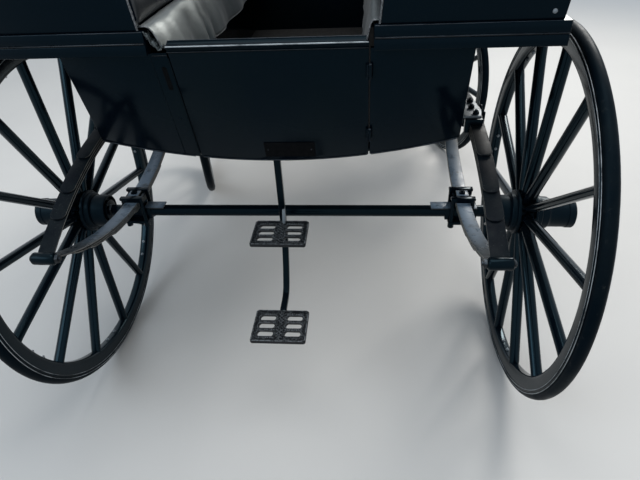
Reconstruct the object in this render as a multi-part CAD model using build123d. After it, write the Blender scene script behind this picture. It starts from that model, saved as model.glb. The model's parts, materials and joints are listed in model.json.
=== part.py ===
"""Four-wheeled wagonette: a light horse drawn carriage with a rear door and lengthwise seats.

Lengths are in millimetres. +Y is forward, +X is the off (right) side and +Z is up. The layout is
measured from the ground point under the middle of the rear axle. The last lines move the whole so
that its origin lies on the ground under the middle of its outline.
"""
import math
import os

from build123d import *

# Running gear
WHEELBASE = 1410.0
CAMBER = 1.7
TYRE_WIDTH = 40.0
TREAD_HALF = 13.0
TYRE_DEPTH = 27.0
FELLOE_WIDTH = 36.0
FELLOE_DEPTH = 40.0
FELLOE_CHAMFER = 8.0
DISH = 14.0
SPOKE_ROOT = (36.0, 22.0)
SPOKE_TIP = (27.0, 20.0)
SPOKE_FOOT_R = 54.0
SPOKE_RING_R = 62.0
NAVE_INNER = -97.0
NAVE_NOSE = 138.0
NAVE_BACK = 112.0
ARM_R = 18.0
ARM_END = 108.0
BORE_R = 18.1
COLLAR_R = 34.0
COLLAR_T = 12.0
COLLAR_GAP = 2.0
AXLE_SQUARE = 40.0
# radius, half track at the ground, number of spokes
AXLES = {
    "rear": {"radius": 560.0, "half_track": 709.0, "spokes": 14},
    "front": {"radius": 440.0, "half_track": 705.0, "spokes": 12},
}

# The ring of spoke feet and its seat on the nave
FOOT_IN = -DISH - 22
FOOT_OUT = -DISH + 22
NAVE_SEAT_R = 48.0
# Outside of the nave from its inner end to its nose: distance along the axis, radius
NAVE_OUTLINE = [
    (NAVE_INNER, 44), (NAVE_INNER + 5, 50), (-74, 50), (-70, 55), (FOOT_IN - 10, 55),
    (FOOT_IN - 7, 68), (FOOT_IN, 68), (FOOT_IN, NAVE_SEAT_R), (FOOT_OUT, NAVE_SEAT_R),
    (FOOT_OUT, 66), (FOOT_OUT + 7, 66), (FOOT_OUT + 10, 54), (56, 50), (60, 44),
    (NAVE_NOSE - 10, 42.5), (NAVE_NOSE, 34),
]

# Springs: distance from the middle, half length between the eyes, and heights
LEAF_WIDTH = 42.0
LEAF_T = 6.0
LEAVES = 5
LEAF_STEP = 0.19
EYE_R = 15.0
EYE_LENGTH = 58.0
CLIP_HALF = 38.0
STUD_AT = 29.0
STUD_R = 6.5
NUT_R = 9.5
STRAP_T = 8.0
BRACKET_HALF = 24.0
BRACKET_REAR = -54.0
BRACKET_FRONT = 105.0
BRACKET_RISE = 46.0
SPRINGS = {
    "rear": {"x": 520.0, "half": 500.0, "low": 611.0, "eye": 750.0, "high": 872.0},
    "front": {"x": 470.0, "half": 420.0, "low": 491.0, "eye": 603.0, "high": 700.0},
}

# Tub
TUB_HALF = 455.0
TUB_TOP = 1150.0
CORNER_Z = 909.0
BELLY_Z = 839.0
PANEL_T = 14.0
REAR_T = 16.0
TUB_REACH = 700.0
REAR_TOP_Y = -279.0
REAR_LEAN = math.degrees(math.atan(0.306))
FRONT_Y = 950.0
DOOR_LEFT = -208.0
DOOR_RIGHT = 233.0
DOOR_GAP = 3.0
DOOR_RAIL_T = 18.0
HINGE_X = 236.0
HINGE_OUT = 5.5
HINGE_R = 4.5
HINGE_LENGTH = 36.0
HINGE_HEIGHTS = (1098.0, 924.0)
FLOOR_TOP = 886.0
FLOOR_T = 18.0
RISER_X = 256.0
RISER_T = 12.0

# Side seats
LEDGE_IN = 243.0
LEDGE_OUT = 630.0
LEDGE_TOP = 1200.0
LEDGE_REAR = -300.0
LEDGE_FRONT = 940.0
GROOVE = 4.0
END_IN = 253.0
END_OUT = 616.0
BACK_TOP = 1500.0
BACK_T = 16.0
BACK_FLARE = 40.0
CAP_R = 14.0
END_FROM_LEDGE = 7.0
END_FOOT_RISE = 70.0
END_TOP_RUN = 70.0
CUSHION_T = 85.0
PAD_T = 34.0
FALL_T = 6.0
FALL_DROP = 150.0
FALL_REAR = -222.0

# Driver's end
BOX_HALF = 420.0
BOX_FRONT = 1320.0
BOX_FOOT = 1365.0
BOX_TOP = 1400.0
FRONT_FLOOR_Z = 930.0
FRONT_FLOOR_T = 20.0
FRONT_FLOOR_END = 1705.0
ROCKER_T = 26.0
ROCKER_DEPTH = 46.0
SEAT_BOARD_T = 24.0
SEAT_OVERHANG = 34.0
BACKREST_TOP = 1710.0
BACKREST_FOOT = 70.0
BACKREST_LEAN = 0.16
DRIVER_END_FRONT = 60.0
DRIVER_END_TOP = 50.0
RAIL_R = 14.0
TOE_RADIUS = 300.0
TOE_TURN = 60.0
DASH_TOP = 1440.0
DASH_T = 14.0
DASH_LEAN = 36.0
SOCKET_R = 17.0
SOCKET_BORE_R = 13.0
SOCKET_Z = (1180.0, 1190.0, 1340.0)

# Turning gear
FORE_TURN = 19.0
PLATE_OUT = 190.0
PLATE_IN = 158.0
PLATE_T = 10.0
PLATE_GAP = 1.0
BOLSTER_Z = 728.0
BOLSTER_T = 62.0
BOLSTER_HALF = 36.0
BED_HALF = 320.0
BED_TOP = 875.0
BEARER_X = (150.0, 200.0)
KINGPIN_R = 15.0
FUTCHELL_X = 120.0
FUTCHELL_BAR_HALF = 330.0
LUG_AT = 25.0
LUG_R = 17.0
SHAFT_PIVOT_Y = 450.0
SHAFT_PIVOT_Z = 762.0
SHAFT_HALF = 300.0
SHAFT_R = 20.0
TIP_R = 23.0
# off shaft, level: distance out, distance ahead of the pivot, rise
SHAFT_POINTS = [
    (SHAFT_HALF, 0, 0), (SHAFT_HALF, 300, 8), (SHAFT_HALF - 10, 800, 70),
    (SHAFT_HALF - 60, 1400, 90), (SHAFT_HALF - 55, 1950, 20),
]
SHAFT_BENDS = [700, 1100, 1400]
CROSSBAR_AT = 330.0
CROSSBAR_HALF = 22.0
CROSSBAR_Z = (-10.0, 24.0)
TREE_RISE = 46.0
TREE_R = 18.0
TREE_HALF = 260.0
TREE_BOLT_R = 8.0
TRACE_X = 250.0
TRACE_AHEAD = 27.0
TRACE_EYE_R = (12.0, 7.0)
TRACE_EYE_T = 8.0

# Steps: middle of each plate
STEP_X = -20.0
STEP_W = 160.0
STEP_T = 8.0
STEP_CORNER = 8.0
STEP_SLOT = (46.0, 15.0)
STEP_PITCH = 0.25
STEM_SECTION = (19.0, 16.0)
# middle Y, middle Z, length
STEPS = [(-185.0, 606.0, 120.0), (-330.0, 375.0, 128.0)]
STEM_Y = -112.0
STEM_BEND_Z = 500.0
STEM_KICK = 75.0
STEM_BENDS = [380.0, 60.0]

PARTS = {}


def box(x0, x1, y0, y1, z0, z1):
    """Block between two corners."""
    return Pos((x0 + x1) / 2, (y0 + y1) / 2, (z0 + z1) / 2) * Box(x1 - x0, y1 - y0, z1 - z0)


def bar_x(radius, x0, x1, y, z):
    """Round bar along X."""
    return Pos((x0 + x1) / 2, y, z) * Rot(0, 90, 0) * Cylinder(radius, x1 - x0)


def bar_y(radius, y0, y1, x, z):
    """Round bar along Y."""
    return Pos(x, (y0 + y1) / 2, z) * Rot(90, 0, 0) * Cylinder(radius, y1 - y0)


def bar_z(radius, z0, z1, x, y):
    """Round bar along Z."""
    return Pos(x, y, (z0 + z1) / 2) * Cylinder(radius, z1 - z0)


def outline(points):
    """Flat face from its corners."""
    return make_face(Polyline(*points, close=True))


def turned(points):
    """Round piece about the X axis, from its half outline (along the axis, radius)."""
    return revolve(outline(points), Axis.X, 360)


def side_plate(points, x0, x1):
    """Plate from an outline in the YZ plane, between two X places."""
    plane = Plane(origin=(x0, 0, 0), x_dir=(0, 1, 0), z_dir=(1, 0, 0))
    return extrude(plane * outline(points), x1 - x0)


def both(shape):
    """A piece on the off side and its mirror image on the near side, as one node."""
    return Compound(children=[shape, mirror(shape, Plane.YZ)])


def sine(degrees):
    return math.sin(math.radians(degrees))


def cosine(degrees):
    return math.cos(math.radians(degrees))


# Wheels

def wheel_height(axle):
    """Height of the wheel's middle when the outer edge of its leaning tread is on the ground."""
    return axle["radius"] * cosine(CAMBER) + TREAD_HALF * sine(CAMBER)


def wheel_out(axle):
    """Distance of the wheel's middle from the middle of the carriage."""
    return axle["half_track"] + axle["radius"] * sine(CAMBER)


def tyre(radius):
    half = TYRE_WIDTH / 2
    base = radius - TYRE_DEPTH
    return turned([(-half, base), (half, base), (TREAD_HALF, radius), (-TREAD_HALF, radius)])


def spoke(radius):
    root = Plane(origin=(-DISH, 0, SPOKE_FOOT_R), x_dir=(1, 0, 0), z_dir=(0, 0, 1))
    tip_r = radius - TYRE_DEPTH - FELLOE_DEPTH + FELLOE_CHAMFER
    tip = Plane(origin=(0, 0, tip_r), x_dir=(1, 0, 0), z_dir=(0, 0, 1))
    return loft([root * SlotOverall(*SPOKE_ROOT), tip * SlotOverall(*SPOKE_TIP)], ruled=True)


def wheel_wood(axle):
    """Felloe ring, spokes and the ring of spoke feet."""
    radius = axle["radius"]
    out = radius - TYRE_DEPTH
    inner = out - FELLOE_DEPTH
    half = FELLOE_WIDTH / 2
    cut = FELLOE_CHAMFER
    felloe = turned([(-half, out), (half, out), (half, inner + cut), (half - cut, inner),
                     (-half + cut, inner), (-half, inner + cut)])
    feet = turned([(FOOT_IN, NAVE_SEAT_R), (FOOT_OUT, NAVE_SEAT_R), (FOOT_OUT, SPOKE_RING_R),
                   (FOOT_IN, SPOKE_RING_R)])
    one = spoke(radius)
    turn = 360.0 / axle["spokes"]
    spokes = [Rot(i * turn, 0, 0) * one for i in range(axle["spokes"])]
    return felloe + feet + spokes


def nave():
    """Hub with its flanges, long nose and closed cap, bored for the axle arm."""
    bore = [(NAVE_NOSE, 0), (NAVE_BACK, 0), (NAVE_BACK, BORE_R), (NAVE_INNER, BORE_R)]
    return turned(NAVE_OUTLINE + bore)


def place_wheel(shape, axle, side):
    """Right-hand wheel at its place, mirrored for the left."""
    put = Pos(wheel_out(axle), 0, wheel_height(axle)) * Rot(0, CAMBER, 0) * shape
    return put if side == "right" else mirror(put, Plane.YZ)


# Axles and springs

def axle_height(axle):
    """Height of the straight beam, where the leaning arm starts at the collar."""
    return wheel_height(axle) - (NAVE_INNER - COLLAR_GAP - COLLAR_T) * sine(CAMBER)


def axle_beam(axle, spring_x):
    """Round beam squared under the springs, with a collar and a leaning arm at each end."""
    outer = NAVE_INNER - COLLAR_GAP
    inner = outer - COLLAR_T
    height = axle_height(axle)
    end = wheel_out(axle) + inner * cosine(CAMBER)
    half = AXLE_SQUARE / 2
    beam = bar_x(ARM_R, -end, end, 0, height)
    arm = Pos(wheel_out(axle), 0, wheel_height(axle)) * Rot(0, CAMBER, 0) * turned([
        (inner, 0), (inner, COLLAR_R), (outer, COLLAR_R), (outer, ARM_R), (ARM_END, ARM_R),
        (ARM_END, 0)])
    reach = CLIP_HALF + 10
    square = box(spring_x - reach, spring_x + reach, -half, half, height - half, height + half)
    for piece in (arm, square):
        beam = beam + piece + mirror(piece, Plane.YZ)
    return beam


def arc_point(radius, angle):
    return (radius * math.sin(angle), -radius * math.cos(angle))


def arc_edge(radius, start, end):
    middle = arc_point(radius, (start + end) / 2)
    return ThreePointArc(arc_point(radius, start), middle, arc_point(radius, end))


def leaf_stack(half, sag):
    """Curved main leaf with shorter leaves under it, about the middle of the main leaf's curve."""
    radius = (half ** 2 + sag ** 2) / (2 * sag)
    reach = math.asin(half / radius)
    top = radius - LEAF_T / 2
    ends = [reach * (1 - LEAF_STEP * i) for i in range(LEAVES)]
    edges = [arc_edge(top, -reach, reach)]
    for i, end in enumerate(ends):
        near, far = top + i * LEAF_T, top + (i + 1) * LEAF_T
        after = ends[i + 1] if i + 1 < LEAVES else -end
        edges.append(Line(arc_point(near, end), arc_point(far, end)))
        edges.append(arc_edge(far, end, after))
    for i in reversed(range(LEAVES)):
        near, far = top + i * LEAF_T, top + (i + 1) * LEAF_T
        edges.append(Line(arc_point(far, -ends[i]), arc_point(near, -ends[i])))
        if i:
            edges.append(arc_edge(near, -ends[i], -ends[i - 1]))
    face = Pos(0, radius - sag) * make_face(edges)
    plane = Plane(origin=(-LEAF_WIDTH / 2, 0, 0), x_dir=(0, 1, 0), z_dir=(1, 0, 0))
    return extrude(plane * face, LEAF_WIDTH)


def spring_halves(spring):
    """Lower and upper halves of a full elliptic spring on the off side."""
    eyes = [bar_x(EYE_R, spring["x"] - EYE_LENGTH / 2, spring["x"] + EYE_LENGTH / 2, y,
                  spring["eye"]) for y in (-spring["half"], spring["half"])]
    place = Pos(spring["x"], 0, spring["eye"])
    lower = place * leaf_stack(spring["half"], spring["eye"] - spring["low"])
    upper = leaf_stack(spring["half"], spring["high"] - spring["eye"])
    upper = place * mirror(upper, Plane.XY)
    for eye in eyes:
        lower = lower - eye
        upper = upper + eye
    return lower, upper


def strap(x, y, z):
    """Bar across a spring over its two studs."""
    reach = CLIP_HALF - 2
    return box(x - reach, x + reach, y - STRAP_T, y + STRAP_T, z, z + STRAP_T)


def axle_clip(spring, height):
    """Two straps over the spring, with a plate and nuts under the axle."""
    x, half = spring["x"], CLIP_HALF
    pad_z = spring["low"] + LEAF_T / 2 + 1
    strap_z = pad_z + 6
    under = height - AXLE_SQUARE / 2
    clip = box(x - 28, x + 28, -half, half, pad_z, strap_z)
    clip += box(x - half, x + half, -half, half, under - STRAP_T, under)
    clip += bar_z(9, strap_z, strap_z + STRAP_T, x, 0)
    for y in (-STUD_AT, STUD_AT):
        clip += strap(x, y, strap_z)
        for leg in (-STUD_AT, STUD_AT):
            clip += bar_z(STUD_R, under - 4, strap_z + 4, x + leg, y)
            clip += bar_z(NUT_R, under - 20, under - STRAP_T, x + leg, y)
    return clip


def spring_bracket():
    """Iron tongue from the side of the tub to the top of a rear spring, with its two straps."""
    spring = SPRINGS["rear"]
    x, half = spring["x"], BRACKET_HALF
    near, far = TUB_HALF + 0.2, TUB_HALF + STRAP_T
    pack_top = spring["high"] - LEAF_T / 2 + LEAVES * LEAF_T + 0.5
    pack_under = spring["high"] - LEAF_T / 2 - 1
    plate_top = pack_top + STRAP_T
    tongue = Plane(origin=(0, 0, pack_top)) * outline([
        (near, -10), (x - half, BRACKET_REAR), (x + half, BRACKET_REAR), (x + half, 40),
        (x - 4, 86), (x - half, BRACKET_FRONT), (near, BRACKET_FRONT)])
    iron = extrude(tongue, STRAP_T)
    iron += box(near, far, -10, BRACKET_FRONT, pack_top, plate_top + BRACKET_RISE)
    for y in (-STUD_AT, STUD_AT):
        iron += strap(x, y, pack_under - STRAP_T)
        for leg in (-STUD_AT, STUD_AT):
            iron += bar_z(STUD_R, pack_under - 4, plate_top + 4, x + leg, y)
            iron += bar_z(STUD_R + 2, pack_top, plate_top, x + leg, y)
    return iron


# Tub

def tub_section(inset):
    """Section of the tub: straight sides and a curved belly, at a distance inside its skin."""
    sag = CORNER_Z - BELLY_Z
    radius = (TUB_HALF ** 2 + sag ** 2) / (2 * sag)
    middle = BELLY_Z + radius
    half = TUB_HALF - inset
    low = middle - math.sqrt((radius - inset) ** 2 - half ** 2)
    arc = ThreePointArc((-half, low), (0, BELLY_Z + inset), (half, low))
    lines = Polyline((half, low), (half, TUB_TOP), (-half, TUB_TOP), (-half, low))
    return make_face([arc, lines])


def prism(inset, y0, y1):
    plane = Plane(origin=(0, y0, 0), x_dir=(1, 0, 0), z_dir=(0, -1, 0))
    return extrude(plane * tub_section(inset), -(y1 - y0))


def rear_face(inset):
    """Plane of the leaning rear face, at a distance inside it, looking out and with Y up."""
    outward = Vector(0, -cosine(REAR_LEAN), -sine(REAR_LEAN))
    base = Vector(0, REAR_TOP_Y, TUB_TOP) - outward * inset
    return Plane(origin=base, x_dir=(1, 0, 0), z_dir=outward)


def behind(plane):
    """Everything within reach outside a plane."""
    return extrude(plane * Rectangle(3000, 3000), 900)


def upright_slice(x0, x1, y1):
    """Everything of the tub between two X places, up to a place in front."""
    return box(x0, x1, -TUB_REACH, y1, BELLY_Z - 50, TUB_TOP)


def build_tub():
    shell = prism(0, -TUB_REACH, FRONT_Y) - prism(PANEL_T, -TUB_REACH - 50, FRONT_Y + 50)
    shell = shell - behind(rear_face(REAR_T))
    inside_half = TUB_HALF - PANEL_T
    PARTS["side_panels"] = both(shell & upright_slice(inside_half, TUB_HALF, FRONT_Y))
    PARTS["belly_panel"] = shell & upright_slice(-inside_half, inside_half, FRONT_Y)
    wall_y = FRONT_Y - PANEL_T
    clear = prism(PANEL_T, -TUB_REACH, wall_y) - behind(rear_face(REAR_T + DOOR_GAP))
    PARTS["floor"] = clear & box(-RISER_X, RISER_X, -TUB_REACH, wall_y, FLOOR_TOP - FLOOR_T,
                                 FLOOR_TOP)
    PARTS["seat_risers"] = both(clear & upright_slice(RISER_X, RISER_X + RISER_T, wall_y))
    PARTS["front_wall"] = prism(PANEL_T, wall_y, FRONT_Y)
    wall = (prism(0, -TUB_REACH, 0) - behind(rear_face(0))) & behind(rear_face(REAR_T))
    left = wall & upright_slice(-TUB_HALF, DOOR_LEFT, 0)
    right = wall & upright_slice(HINGE_X, TUB_HALF, 0)
    PARTS["rear_panels"] = Compound(children=[left, right])
    return wall


def build_door(wall):
    PARTS["door_panel"] = wall & upright_slice(DOOR_LEFT + DOOR_GAP, DOOR_RIGHT, 0)
    face = rear_face(0)
    width = DOOR_RIGHT - DOOR_LEFT - DOOR_GAP
    middle = (DOOR_RIGHT + DOOR_LEFT + DOOR_GAP) / 2
    PARTS["door_top_rail"] = face * Pos(middle, DOOR_RAIL_T / 2, -REAR_T / 2) * Box(
        width, DOOR_RAIL_T, REAR_T + 10)
    knuckles = []
    for height in HINGE_HEIGHTS:
        up = (height - TUB_TOP) / cosine(REAR_LEAN)
        knuckle = Rot(90, 0, 0) * Cylinder(HINGE_R, HINGE_LENGTH)
        knuckle = face * Pos(HINGE_X, up, HINGE_OUT) * knuckle
        link = face * Pos(HINGE_X - HINGE_R, up, HINGE_OUT / 2) * Box(8, HINGE_LENGTH, HINGE_OUT)
        knuckles.append(knuckle + link)
    PARTS["door_hinges"] = Compound(children=knuckles)


# Seats

def ledge():
    """Seat board that stands out past the side of the tub, with a groove along its edge."""
    board = box(LEDGE_IN, LEDGE_OUT, LEDGE_REAR, LEDGE_FRONT, TUB_TOP, LEDGE_TOP)
    middle = (TUB_TOP + LEDGE_TOP) / 2
    low, high = middle - GROOVE / 2, middle + GROOVE / 2
    board -= box(LEDGE_IN, LEDGE_OUT, LEDGE_REAR, LEDGE_REAR + GROOVE, low, high)
    board -= box(LEDGE_OUT - GROOVE, LEDGE_OUT, LEDGE_REAR, LEDGE_FRONT, low, high)
    return board


def end_panel(y):
    """Shaped end of a side seat: full height at the back, sweeping down to the front edge."""
    low, high = LEDGE_TOP, BACK_TOP
    corner = (END_OUT - END_TOP_RUN, high)
    foot = (END_IN + 8, low + END_FOOT_RISE)
    edges = [
        Polyline(foot, (END_IN, low), (END_OUT, low), (END_OUT + BACK_FLARE - 4, high), corner),
        ThreePointArc(corner, (END_IN + 110, low + 190), foot),
    ]
    plane = Plane(origin=(0, y, 0), x_dir=(1, 0, 0), z_dir=(0, -1, 0))
    return extrude(plane * make_face(edges), -BACK_T)


def leaning(x0, x1, z0, z1, y0, y1, flare):
    """Upright board between two Y places whose top is further out than its foot."""
    plane = Plane(origin=(0, y0, 0), x_dir=(1, 0, 0), z_dir=(0, -1, 0))
    face = outline([(x0, z0), (x1, z0), (x1 + flare, z1), (x0 + flare, z1)])
    return extrude(plane * face, -(y1 - y0))


def build_seats():
    PARTS["seat_boards"] = both(ledge())
    rear = end_panel(LEDGE_REAR + END_FROM_LEDGE)
    front = end_panel(LEDGE_FRONT - BACK_T)
    PARTS["seat_end_panels"] = Compound(children=[
        rear, front, mirror(rear, Plane.YZ), mirror(front, Plane.YZ)])
    y0 = LEDGE_REAR + END_FROM_LEDGE + BACK_T + 1
    y1 = LEDGE_FRONT - BACK_T - 1
    back = leaning(END_OUT - BACK_T, END_OUT, LEDGE_TOP, BACK_TOP, y0, y1, BACK_FLARE)
    cap = bar_y(CAP_R, y0, y1, END_OUT + BACK_FLARE - BACK_T / 2, BACK_TOP + 8)
    PARTS["seat_backs"] = both(back + cap)
    cushion = box(LEDGE_IN + 3, END_OUT - BACK_T - 2, y0 + 4, y1 - 4, LEDGE_TOP,
                  LEDGE_TOP + CUSHION_T)
    PARTS["side_cushions"] = both(cushion)
    pad_low, pad_high = LEDGE_TOP + CUSHION_T + 15, BACK_TOP - 20
    lean = BACK_FLARE / (BACK_TOP - LEDGE_TOP)
    foot = END_OUT - BACK_T - 3 + (pad_low - LEDGE_TOP) * lean
    pad = leaning(foot - PAD_T, foot, pad_low, pad_high, y0 + 8, y1 - 8,
                  (pad_high - pad_low) * lean)
    PARTS["back_pads"] = both(pad)
    fall = box(LEDGE_IN - FALL_T, LEDGE_IN - 0.3, FALL_REAR, FRONT_Y - PANEL_T - 10,
               LEDGE_TOP - FALL_DROP, LEDGE_TOP)
    PARTS["leather_falls"] = both(fall)


# Driver's end

def driver_seat_end():
    """Curved end of the driver's seat on the off side, high at the back and low at the front."""
    low = BOX_TOP + SEAT_BOARD_T
    rear, front = FRONT_Y + 6, BOX_FRONT + 20
    back = rear - (BACKREST_TOP - low) * BACKREST_LEAN
    tip = (front, low + DRIVER_END_FRONT)
    corner = (back + DRIVER_END_TOP, BACKREST_TOP)
    edges = [
        Polyline(tip, (front, low), (rear, low), (back, BACKREST_TOP), corner),
        ThreePointArc(corner, (rear + 150, low + 140), tip),
    ]
    plane = Plane(origin=(BOX_HALF + 8, 0, 0), x_dir=(0, 1, 0), z_dir=(1, 0, 0))
    return extrude(plane * make_face(edges), BACK_T)


def build_driver_seat():
    floor_top = FRONT_FLOOR_Z + FRONT_FLOOR_T
    wall = PANEL_T
    outer = side_plate([(FRONT_Y, floor_top), (BOX_FOOT, floor_top), (BOX_FRONT, BOX_TOP),
                        (FRONT_Y, BOX_TOP)], -BOX_HALF, BOX_HALF)
    inner = side_plate([(FRONT_Y + wall, floor_top - 1), (BOX_FOOT - wall, floor_top - 1),
                        (BOX_FRONT - wall, BOX_TOP + 1), (FRONT_Y + wall, BOX_TOP + 1)],
                       -BOX_HALF + wall, BOX_HALF - wall)
    PARTS["driver_box"] = outer - inner
    seat = BOX_TOP + SEAT_BOARD_T
    reach = BOX_HALF + SEAT_OVERHANG
    PARTS["driver_seat_board"] = box(-reach, reach, FRONT_Y - 8, BOX_FRONT + 30, BOX_TOP, seat)
    PARTS["driver_seat_ends"] = both(driver_seat_end())
    half = BOX_HALF + 6
    low, high = seat + BACKREST_FOOT, BACKREST_TOP
    foot = FRONT_Y + 6 - (low - seat) * BACKREST_LEAN
    head = FRONT_Y + 6 - (high - seat) * BACKREST_LEAN
    board = side_plate([(foot, low), (foot + BACK_T, low), (head + BACK_T, high), (head, high)],
                       -half, half)
    PARTS["driver_backrest"] = board + bar_x(RAIL_R, -half, half, head + BACK_T / 2, high)
    pad_foot, pad_head = foot + BACK_T + 2, head + BACK_T + 2
    pad_low, pad_high = low + 25, high - 20
    slope = (pad_head - pad_foot) / (high - low)
    near, far = pad_foot + 25 * slope, pad_head - 20 * slope
    PARTS["driver_back_pad"] = side_plate([
        (near, pad_low), (near + PAD_T, pad_low), (far + PAD_T, pad_high), (far, pad_high)],
        -half + 10, half - 10)
    PARTS["driver_cushion"] = box(-half + 4, half - 4, FRONT_Y + 20, BOX_FRONT + 15, seat,
                                  seat + CUSHION_T)


def toe_arc(radius, turn):
    """Point on the curve of the toe board, which starts level at the end of the front floor."""
    middle = FRONT_FLOOR_Z + TOE_RADIUS
    return (FRONT_FLOOR_END + radius * sine(turn), middle - radius * cosine(turn))


def build_footboard():
    floor_top = FRONT_FLOOR_Z + FRONT_FLOOR_T
    PARTS["front_floor"] = box(-BOX_HALF, BOX_HALF, FRONT_Y, FRONT_FLOOR_END, FRONT_FLOOR_Z,
                               floor_top)
    y, z = FRONT_Y, FRONT_FLOOR_Z
    profile = make_face([
        Polyline((FRONT_FLOOR_END, z), (y, z), (y, z - ROCKER_DEPTH)),
        ThreePointArc((y, z - ROCKER_DEPTH), (y + 300, z - 26), (FRONT_FLOOR_END, z)),
    ])
    plane = Plane(origin=(BOX_HALF - ROCKER_T, 0, 0), x_dir=(0, 1, 0), z_dir=(1, 0, 0))
    PARTS["front_rockers"] = both(extrude(plane * profile, ROCKER_T))
    outer, inner = TOE_RADIUS, TOE_RADIUS - FRONT_FLOOR_T
    face = make_face([
        ThreePointArc(toe_arc(outer, 0), toe_arc(outer, TOE_TURN / 2), toe_arc(outer, TOE_TURN)),
        Line(toe_arc(outer, TOE_TURN), toe_arc(inner, TOE_TURN)),
        ThreePointArc(toe_arc(inner, TOE_TURN), toe_arc(inner, TOE_TURN / 2), toe_arc(inner, 0)),
        Line(toe_arc(inner, 0), toe_arc(outer, 0)),
    ])
    plane = Plane(origin=(-BOX_HALF, 0, 0), x_dir=(0, 1, 0), z_dir=(1, 0, 0))
    PARTS["toe_board"] = extrude(plane * face, 2 * BOX_HALF)


def dash_foot():
    y, z = toe_arc(TOE_RADIUS, TOE_TURN)
    return y, z - 24


def socket_place():
    """Place of the whip socket's axis, just behind the dashboard."""
    y, z = dash_foot()
    near = y + (SOCKET_Z[0] - z) * DASH_LEAN / (DASH_TOP - z)
    return BOX_HALF - 30, near - SOCKET_R - 6


def build_dashboard():
    y, z = dash_foot()
    PARTS["dashboard"] = side_plate([
        (y, z), (y + DASH_T, z), (y + DASH_T + DASH_LEAN, DASH_TOP), (y + DASH_LEAN, DASH_TOP)],
        -BOX_HALF - 10, BOX_HALF + 10)
    foot, bore_foot, mouth = SOCKET_Z
    x, axis = socket_place()
    slope = DASH_LEAN / (DASH_TOP - z)
    socket = bar_z(SOCKET_R, foot, mouth, x, axis)
    socket -= bar_z(SOCKET_BORE_R, bore_foot, mouth + 1, x, axis)
    low, high = foot + 30, mouth - 30
    clip = side_plate([(axis + SOCKET_BORE_R + 1, low), (y + (low - z) * slope, low),
                       (y + (high - z) * slope, high), (axis + SOCKET_BORE_R + 1, high)],
                      x - 6, x + 6)
    PARTS["whip_socket"] = socket + clip


# Turning gear, laid out about the kingpin and then turned with it

def fore(shape):
    return Pos(0, WHEELBASE, 0) * Rot(0, 0, FORE_TURN) * shape


def wheel_plate(z):
    """Ring of the turntable with a bar across it."""
    ring = Cylinder(PLATE_OUT, PLATE_T) - Cylinder(PLATE_IN, PLATE_T)
    reach = PLATE_IN + 8
    return Pos(0, 0, z + PLATE_T / 2) * ring + box(-reach, reach, -28, 28, z, z + PLATE_T)


def futchells():
    """Two bars forward from the bolster to a cross bar with a pair of lugs for each shaft."""
    low, high = BOLSTER_Z + 8, BOLSTER_Z + BOLSTER_T - 8
    reach = FUTCHELL_BAR_HALF
    bars = box(-reach, reach, SHAFT_PIVOT_Y - 70, SHAFT_PIVOT_Y - LUG_AT, low, high)
    for x in (-FUTCHELL_X, FUTCHELL_X):
        bars += box(x - 20, x + 20, BOLSTER_HALF, SHAFT_PIVOT_Y - 50, low, high)
    for x in (-SHAFT_HALF, SHAFT_HALF):
        for ear in (x - LUG_AT, x + LUG_AT):
            bars += box(ear - 5, ear + 5, SHAFT_PIVOT_Y - 30, SHAFT_PIVOT_Y,
                        SHAFT_PIVOT_Z - LUG_R, SHAFT_PIVOT_Z + LUG_R)
            bars += bar_x(LUG_R, ear - 5, ear + 5, SHAFT_PIVOT_Y, SHAFT_PIVOT_Z)
    return bars


def build_turning_gear():
    plate_z = BOLSTER_Z + BOLSTER_T
    upper_z = plate_z + PLATE_T + PLATE_GAP
    hole = bar_z(KINGPIN_R + 0.5, BOLSTER_Z - 50, upper_z, 0, 0)
    PARTS["lower_wheel_plate"] = fore(wheel_plate(plate_z) - hole)
    bolster_reach = SPRINGS["front"]["x"] + CLIP_HALF + 7
    bolster = box(-bolster_reach, bolster_reach, -BOLSTER_HALF, BOLSTER_HALF, BOLSTER_Z, plate_z)
    PARTS["front_bolster"] = fore(bolster - hole)
    PARTS["futchells"] = fore(futchells())
    pin = bar_z(KINGPIN_R, BOLSTER_Z - 18, upper_z + PLATE_T, 0, 0)
    PARTS["upper_wheel_plate"] = Pos(0, WHEELBASE, 0) * (wheel_plate(upper_z) + pin)
    bed = box(-BED_HALF, BED_HALF, -45, 45, upper_z + PLATE_T, BED_TOP)
    bearer = box(*BEARER_X, FRONT_Y + 20, FRONT_FLOOR_END - 20, BED_TOP, FRONT_FLOOR_Z)
    PARTS["upper_bed"] = Pos(0, WHEELBASE, 0) * bed + bearer + mirror(bearer, Plane.YZ)


def shaft_drop():
    """Angle below level that brings the ball at the tip to the ground."""
    out, ahead, rise = SHAFT_POINTS[-1]
    reach = math.hypot(ahead, rise)
    return math.degrees(math.atan2(rise, ahead)
                        + math.asin((SHAFT_PIVOT_Z - TIP_R) / reach))


def lower_shafts(shape):
    return fore(Pos(0, SHAFT_PIVOT_Y, SHAFT_PIVOT_Z) * Rot(-shaft_drop(), 0, 0) * shape)


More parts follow.
